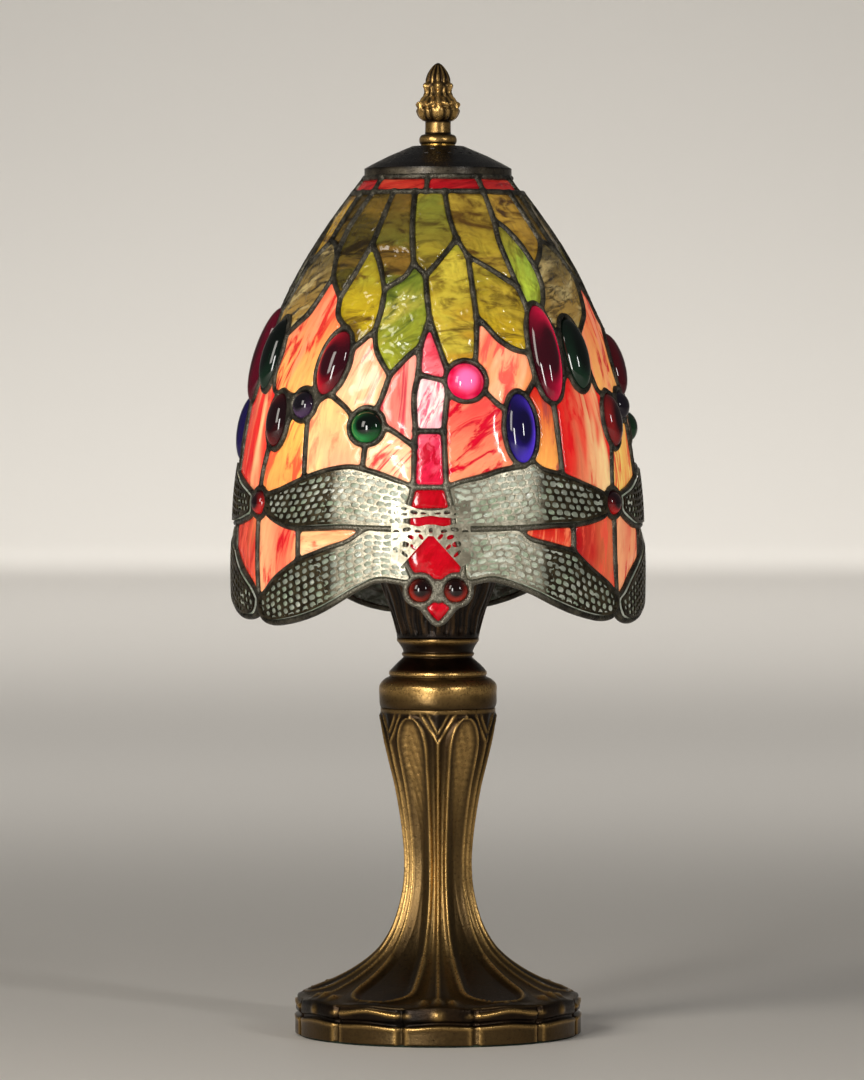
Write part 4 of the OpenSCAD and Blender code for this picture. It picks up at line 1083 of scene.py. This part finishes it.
# ---- the cast column
COLUMN = [(52.6, 0.8), (52.6, 4), (52.6, 7.6), (52.3, 8.3), (52.6, 9.2), (52.6, 11), (52.4, 13.4),
          (51.4, 14.8), (47.3, 16.2), (40.9, 18.6), (33.4, 22.4), (26.4, 27.2), (21.1, 32.6),
          (16.4, 41), (13.3, 52), (12.4, 62.3), (12.9, 71.5), (14.3, 82), (16.2, 92), (18.4, 100.7),
          (20.2, 108.5), (21.1, 117), (21.1, 118.6), (21.1, 119.9)]
COLUMN_HOLLOW = [(7, 119.9), (7, 60), (9, 45), (18, 31), (30, 20.5), (46, 14), (49, 11), (49, 0.8)]


def turned_relief(name, outer, hollow, steps, step, relief):
    """A turned casting whose outer face carries a relief, which also says where it is worn bright and
    where highlights are painted on.
    """
    outer = curve_through(np.array(outer) * MM, step * MM)
    rows = len(outer)
    radius, height = all_round(np.vstack([outer, np.array(hollow) * MM]), steps)
    degrees = np.linspace(0, 360, steps, endpoint=False) * np.ones((rows, 1))
    raised, bare = relief(degrees, radius[:rows] / MM, height[:rows] / MM)
    ahead = np.gradient(outer, axis=0)
    ahead /= np.maximum(np.linalg.norm(ahead, axis=1, keepdims=True), 1e-9)
    radius[:rows] += raised * MM * ahead[:, 1:]
    height[:rows] -= raised * MM * ahead[:, :1]
    wear_and_highlight = np.zeros(radius.shape)
    wear_and_highlight[:rows] = np.clip(bare, 0, 1)
    obj = mesh_from(name, *lathe(radius, height))
    set_attribute(obj, "wear_and_highlight", wear_and_highlight.ravel())
    return obj


# The column's six leaves and the ribs between them, in degrees and millimetres
LEAF_PITCH = 60
LEAF_HALF = 17.0
LEAF_SHOULDER, LEAF_TIP = 104, 117
TOE_START, TOE_LENGTH = 38.5, 10.5
TOE_END = 49
FOOT_TOP = 30
# The foot's rim: rows of lobes and plates below this height, split every 30 degrees
RIM_TOP = (13.6, 14.8)
PLATE_PITCH = 30
# How wide a degree counts in the hammered patches, in millimetres
DEGREE_WIDTH = 0.35


def column_relief(degrees, radius, z):
    """The column's leaves, ribs and curls, and the foot's rim of scooped lobes over plates."""
    arc = radius * math.pi / 180
    middle = LEAF_PITCH / 2
    leaf = np.abs(degrees % LEAF_PITCH - middle)
    rib = middle - leaf
    low = z < FOOT_TOP
    toe = (radius - TOE_START) / TOE_LENGTH
    on_toe = low & (toe > 0)
    shoulder = (z - LEAF_SHOULDER) / (LEAF_TIP - LEAF_SHOULDER)
    half = np.full_like(z, LEAF_HALF)
    half = np.where(shoulder > 0, LEAF_HALF * np.sqrt(np.clip(1 - shoulder**2, 0, 1)), half)
    half = np.where(on_toe, LEAF_HALF * np.sqrt(np.clip(1 - toe**2, 0, 1)), half)
    on_body = between(z, *RIM_TOP, 117.5, 119)
    inwards = (half - leaf) * arc
    inwards = np.where(on_toe, np.minimum(inwards, TOE_END - radius), inwards)
    inwards = np.where(z > 110, np.minimum(inwards, LEAF_TIP - z), inwards)
    outside = inwards < 0
    line = bell(inwards, np.where(low, 0.75, 0.48))
    hollow = smoothstep(0.3, 3.6, inwards)
    across = degrees * DEGREE_WIDTH
    hammer = ripple_field(across, z, np.random.default_rng(3), 3) * smoothstep(60, 100, z)
    beside = rib * arc
    rib_line = bell(beside, 0.5) * between(z, 15, 18, 107, 108.2)
    arm = bell((rib - 16 * (z - 107.6) / 9.4) * arc, 0.42) * smoothstep(107, 108, z)
    inner_arm = bell((rib - 9 * (z - 111) / 6) * arc, 0.36) * smoothstep(110.6, 111.6, z) * 0.7
    panel = np.clip((middle - half) * arc, 0.5, None)
    flute = np.sin(np.clip(beside / panel, 0, 1) * math.pi)**2 * outside
    from_rib = np.where(degrees % LEAF_PITCH > middle, degrees % LEAF_PITCH - LEAF_PITCH,
                        degrees % LEAF_PITCH)
    curls = sum(bell((from_rib - at) * arc, 1.5) for at in (-6.5, 0, 6.5)) * bell(radius - 47.5, 2.2)
    curls = curls * (z < 20)
    ridges = np.maximum.reduce([line, rib_line, arm, inner_arm]) * on_body
    raised = ridges * 0.6 - on_body * (hollow * (1.2 - 0.12 * hammer) + flute * 0.8)
    raised += on_body * curls * 1.3 * outside
    on_rim = 1 - smoothstep(*RIM_TOP, z)
    beside_split = np.abs(degrees % PLATE_PITCH - PLATE_PITCH / 2) * arc
    split = bell(beside_split, 1.0)
    plate_top = 7.9 + 0.35 * np.cos(np.radians(degrees * 12)) + 0.25 * np.sin(np.radians(degrees * 5))
    plate_edge = bell(z - plate_top + 1.0, 0.55) * (1 - split)
    plate_side = bell(beside_split - 2.1, 0.55) * (z < 7.4)
    plate_bulge = (1 - bell(beside_split, 4.0)) * (z < 8.2)
    groove = bell(z - plate_top - 0.5, 0.65)
    lobe = 11.2 + 1.7 * bell(leaf, 9)
    lobe_edge = bell(z - lobe, 0.6) * (1 - split) * smoothstep(20, 13, leaf)
    knob = bell(beside, 1.7) * bell(z - 11.4, 1.6)
    scoop = smoothstep(lobe, lobe + 1.2, z) * smoothstep(18, 10, leaf)
    raised += on_rim * (0.3 * plate_edge + 0.3 * plate_bulge + 0.55 * lobe_edge + 0.6 * knob
                        - 1.0 * groove - 1.3 * split - 0.9 * scoop - 0.4)
    bare = hollow * smoothstep(70, LEAF_SHOULDER, z) * (0.5 + 0.13 * hammer)
    waist = bell(z - 58, 32) * (0.14 + 0.34 * flute)
    patches = ripple_field(across, z, np.random.default_rng(5), 16)
    rubbed = 0.78 - 0.3 * smoothstep(-0.2, 0.9, patches)
    wear_and_highlight = on_body * (ridges * rubbed + curls * 0.6 + bare + waist)
    wear_and_highlight += on_rim * (plate_edge * 0.5 + plate_side * 0.45 + lobe_edge * 0.9 + knob * 0.5
                      + 0.10 * (z < 7)) * (1 - groove)
    wear_and_highlight += 0.30 * smoothstep(118, 119, z)
    return raised, wear_and_highlight


COLLAR = [(21, 120), (21.5, 121.6), (21.6, 125), (21.5, 128.3), (19.8, 130.4), (17.9, 131.4),
          (17.6, 131.7), (18, 132.3), (17.9, 133.3), (17.4, 133.9), (15.2, 136.2), (12.8, 138.4),
          (12.9, 138.9), (13.3, 139.4), (13.2, 140.1), (12.8, 140.6), (13.4, 142.2), (14.6, 144),
          (15.0, 144.4), (15.1, 145.0), (15.0, 145.7)]
COLLAR_HOLLOW = [(6, 145.7), (6, 135), (16, 126), (17.5, 120)]


def collar_relief(degrees, radius, z):
    # Painted highlights: bright bands along the crowns of the collar's round mouldings, shown in the
    # polish colour.
    wear_and_highlight = (bell(z - 127.6, 2.4) * 0.62 + bell(z - 124, 4) * 0.16 + bell(z - 132.8, 0.8) * 0.8
            + bell(z - 139.6, 0.6) * 0.4 + bell(z - 144.6, 0.7) * 0.55)
    return 0.05 * np.sin(np.radians(degrees) * 7 + z), wear_and_highlight


CUP = [(15.0, 145.85), (15.9, 149.5), (17.7, 156), (19.5, 160.8), (21.3, 165.4), (21.9, 167.4),
       (22, 168.9)]
CUP_HOLLOW = [(20.5, 168.9), (19.6, 165.8), (16, 156.4), (14, 149.2), (6, 149.2), (6, 145.85)]


def cup_relief(degrees, radius, z):
    flute = np.cos(np.radians(degrees) * 18 + 0.4 * np.sin(z * 0.5))
    fine = np.cos(np.radians(degrees) * 54 + np.sin(z * 0.4 + degrees * 0.05) * 1.5)
    body = between(z, 146.5, 148.5, 166.2, 167.6)
    wear_and_highlight = body * (smoothstep(0.5, 1, flute) * 0.10 + smoothstep(0.5, 1, fine) * 0.06)
    wear_and_highlight += bell(z - 167.6, 0.8) * 0.12
    return body * (0.4 * flute + 0.12 * fine) - 0.35 * body, wear_and_highlight


FINIAL = [(6.4, 326.65), (6.75, 327.2), (6.9, 328.2), (6.7, 329.1), (6.1, 329.9), (5.0, 330.3),
          (4.75, 330.7), (4.7, 334.7), (5.2, 335.2), (6.8, 336.4), (7.7, 338), (7.9, 339.2),
          (7.5, 340.9), (6.6, 342.6), (5.3, 344.0), (4.6, 345.4), (4.6, 346.4), (4.8, 347.9),
          (4.55, 349.2), (4.5, 350.2), (4.2, 351.4), (3.5, 353), (2.5, 354.5), (1.4, 355.7),
          (0.5, 356.3), (0.05, 356.4)]
FINIAL_HOLLOW = [(0.05, 340), (3.3, 339), (3.3, 326.65)]


def finial_relief(degrees, radius, z):
    fold = np.abs((degrees + 30) % 60 - 30)
    arc = radius * math.pi / 180
    bulb = between(z, 335.2, 336.4, 343.4, 344.6)
    stem = bell(fold * arc, 0.75) * between(z, 334.8, 336, 346.6, 347.4)
    lobes = np.abs(np.sin(np.radians(degrees) * 9 + np.radians(90) * smoothstep(338, 343, z)))
    curl_edge = bell(z - 342.3 + fold * 0.05, 0.55) * smoothstep(6, 12, fold)
    valley = bell(z - 341.2 + fold * 0.05, 0.5) * smoothstep(8, 14, fold)
    ball = bell(fold * arc, 1.15) * bell(z - 347.9, 1.15)
    neck = bell((30 - fold) * arc, 0.5) * between(z, 343.6, 344.4, 347, 348)
    bud = between(z, 348.6, 349.6, 355.2, 356.2)
    ribs = np.abs(np.cos(np.radians(degrees) * 6))
    raised = (bulb * (lobes * 0.5 - 0.35) + stem * 0.7 + curl_edge * 0.7 - valley * 0.5
              + ball * 1.5 + neck * 0.5 + bud * (ribs * 0.45 - 0.4))
    wear_and_highlight = (bulb * (smoothstep(0.5, 1, lobes) * 0.55 + 0.1) + stem * 0.8 + curl_edge * 0.8 + ball
            + neck * 0.6 + bud * smoothstep(0.6, 1, ribs) * 0.5 + bell(z - 328.4, 0.9) * 0.75
            + between(z, 330.6, 331.2, 334, 334.8) * 0.42)
    return raised, wear_and_highlight


# ---- finishes of the CAD pieces
BRASS = ("brass", (150, 112, 50), (206, 166, 88), 0.28, 0.95, 140, 1200, 0.10)
# Each row: the CAD pieces, then the finish: name, low and high colour, roughness, metal, how fine
# the clouds and the grain are, the bumps' depth, and how far the roughness varies if not by 0.12.
FINISHES = [
    ("base_nut base_lock_washer lamp_pipe cup_washer cup_locknut terminal_screws pipe_spacer",
     "zinc_steel", (120, 120, 118), (172, 172, 166), 0.34, 0.9, 180, 1500, 0.12),
    ("seat_washer", "black_plastic", (12, 12, 12), (26, 25, 24), 0.42, 0.0, 200, 1600, 0.15),
    ("socket_body", "phenolic", (14, 11, 10), (34, 24, 20), 0.32, 0.0, 220, 1300, 0.12),
    ("felt_pad", "felt", (24, 36, 26), (44, 60, 42), 0.95, 0.0, 500, 3200, 0.9, 0.04),
    ("ballast_weight", "cast_ballast", (46, 44, 42), (84, 80, 76), 0.7, 0.6, 90, 800, 0.6),
    ("cord_bushing", "black_rubber", (10, 10, 10), (24, 24, 23), 0.6, 0.0, 260, 1500, 0.3),
    ("socket_insulator", "fibre_paper", (120, 96, 62), (158, 132, 90), 0.8, 0.0, 300, 1800, 0.5),
    ("bulb_glass", "frosted_glass", (226, 222, 210), (246, 243, 234), 0.30, 0.0, 90, 1400, 0.06),
    ("bulb_stem", "stem_glass", (190, 196, 194), (222, 226, 224), 0.12, 0.0, 120, 900, 0.08),
    ("bulb_filament", "tungsten", (96, 92, 88), (150, 144, 136), 0.4, 0.9, 300, 1800, 0.2),
    ("top_ring", "ring_patina", (52, 46, 38), (96, 88, 74), 0.4, 0.7, 160, 1200, 0.3),
]


def finish_cad():
    """Gives each CAD piece its own finish, and brass where the table names none."""
    finish = {"shade_cap": cap_bronze()}
    for nodes, *look in FINISHES:
        finish.update(dict.fromkeys(nodes.split(), surface(*look)))
    brass = surface(*BRASS)
    for name, obj in NODES.items():
        for material_slot in obj.material_slots:
            material_slot.material = finish.get(name, brass)


def finish_of(node):
    return NODES[node].material_slots[0].material


# ---- the lamp
# Each row: object and CAD node without the insect's number, table, glass (name, roughness, painted glow,
# ripple scale, softness of the streaks), ripple depth, and settings that differ from the usual.
GLASS = {
    "sky": ("sky_panes", "background_glass", SKY_PANES, ("streaky_glass", 0.11, 0.58, 60), 0.3, {}),
    "leaf": ("leaf_panes", "leaf_glass", LEAF_PANES, ("ripple_glass", 0.12, 0.54, 105, 0.12), 1.1,
             {"wave": 7 * MM, "lift": 0.22 * MM}),
    "body": ("body_panes", "dragonfly_body", BODY_PANES, ("body_glass", 0.10, 0.58, 90), 0.25, {}),
    "wing": ("wing_panes", "wing_glass", WING_PANES, ("wing_glass", 0.16, 0.50, 200), 0.8,
             {"flatten": 0}),
}


def build_shade():
    rng = np.random.default_rng(7)
    glass = {key: art_glass(*row[3]) for key, row in GLASS.items()}
    border = art_glass("border_glass", 0.12, 0.58, 90)
    # The lead's lighter colour near the insects' bodies is a painted highlight.
    lead = surface("lead_patina", (44, 41, 34), (92, 87, 74), 0.34, 0.6, 190, 900, 0.8,
                   polish_and_highlight=(112, 108, 95))
    lace = pewter()
    glass_panes("border_panes", "border_glass", "border_glass", BORDER_PANES, border, 0.3, rng)
    for number, centre in ((1, 0), (2, 120), (3, 240)):
        for key in ("leaf", "sky", "body", "wing"):
            name, node, table, _, ripple, settings = GLASS[key]
            slot = "body_glass" if key == "body" else node
            glass_panes(f"{name}_{number}", f"{node}_{number}", slot, table, glass[key], ripple, rng,
                        **settings)
        wing_filigree(number, centre, lace, rng)
    lead_work(lead, rng)
    gem = jewel_glass()
    jewels("round_gems", "round_jewels", gem, ROUND_TONES)
    jewels("oval_gems", "oval_jewels", gem, OVAL_TONES)
    jewels("insect_eyes", "dragonfly_eyes", gem, EYE_TONES)


# Half of the harp's wire, and the bulb's outside from its tip down, as [distance from axis, height]
HARP_WIRE = [(15.3, 167.5), (15.3, 172), (15.3, 177), (16.4, 182.5), (24, 195), (31, 216), (31, 250),
             (27, 278), (17, 300), (7.5, 310.25)]
HARP_BOSS = [(3.2, 309), (8.7, 309), (9, 309.3), (9, 311.7), (8.7, 312), (3.2, 312)]
BULB = [(0.02, 277.5), (2.1, 277.1), (4.9, 274.1), (8.7, 267.1), (14, 253.1), (17, 241.1),
        (17.4, 231.1), (15.4, 220.1), (10.9, 210.1), (7.3, 202.1), (6.1, 197.1)]
BULB_WALL = 0.8
HARP_WIRE_HALF = 1.6


def build_harp_and_bulb():
    """The bent wire with its boss, and the bulb, which show when the shade is lifted."""
    harp = Pile()
    harp.add(*lathe(*all_round(np.array(HARP_BOSS) * MM, 64)))
    for side in (-1, 1):
        line = curve_through([(side * x * MM, 0, z * MM) for x, z in HARP_WIRE], 1.5 * MM)
        normal = np.tile([0.0, side, 0.0], (len(line), 1))
        harp.add(*tube(line, normal, HARP_WIRE_HALF * MM, HARP_WIRE_HALF * MM, 20))
    place(harp.build("harp_wire"), "base", finish_of("harp"), "harp")
    outside = curve_through(np.array(BULB) * MM, 1.2 * MM)
    wall = BULB_WALL * MM
    hollow = [(max(r - wall, 0.02 * MM), min(z, outside[0, 1] - wall)) for r, z in outside[::-1]]
    bulb = mesh_from("bulb_envelope", *lathe(*all_round(np.vstack([outside, hollow]), 72)))
    place(bulb, "bulb", finish_of("bulb_glass"), "bulb_glass")


def build_metalwork():
    bronze = surface("antique_bronze", (16, 11, 7), (48, 33, 18), 0.34, 0.85, 45, 1100, 0.16, 0.08,
                     (222, 178, 106))
    dark = surface("cup_bronze", (14, 10, 8), (40, 28, 18), 0.34, 0.7, 130, 1100, 0.3, 0.1,
                   (170, 126, 70))
    for name, node, body, finish, shape in (
            ("column", "base_casting", "base", bronze,
             (COLUMN, COLUMN_HOLLOW, 420, 0.6, column_relief)),
            ("collar", "collar_casting", "base", bronze,
             (COLLAR, COLLAR_HOLLOW, 120, 0.5, collar_relief)),
            ("cup", "fluted_cup", "base", dark, (CUP, CUP_HOLLOW, 324, 0.6, cup_relief)),
            ("finial_top", "finial", "finial", bronze,
             (FINIAL, FINIAL_HOLLOW, 240, 0.22, finial_relief))):
        place(turned_relief(name, *shape), body, finish, node)


finish_cad()
build_metalwork()
build_harp_and_bulb()
build_shade()
add_floor()
add_lights()
add_camera()
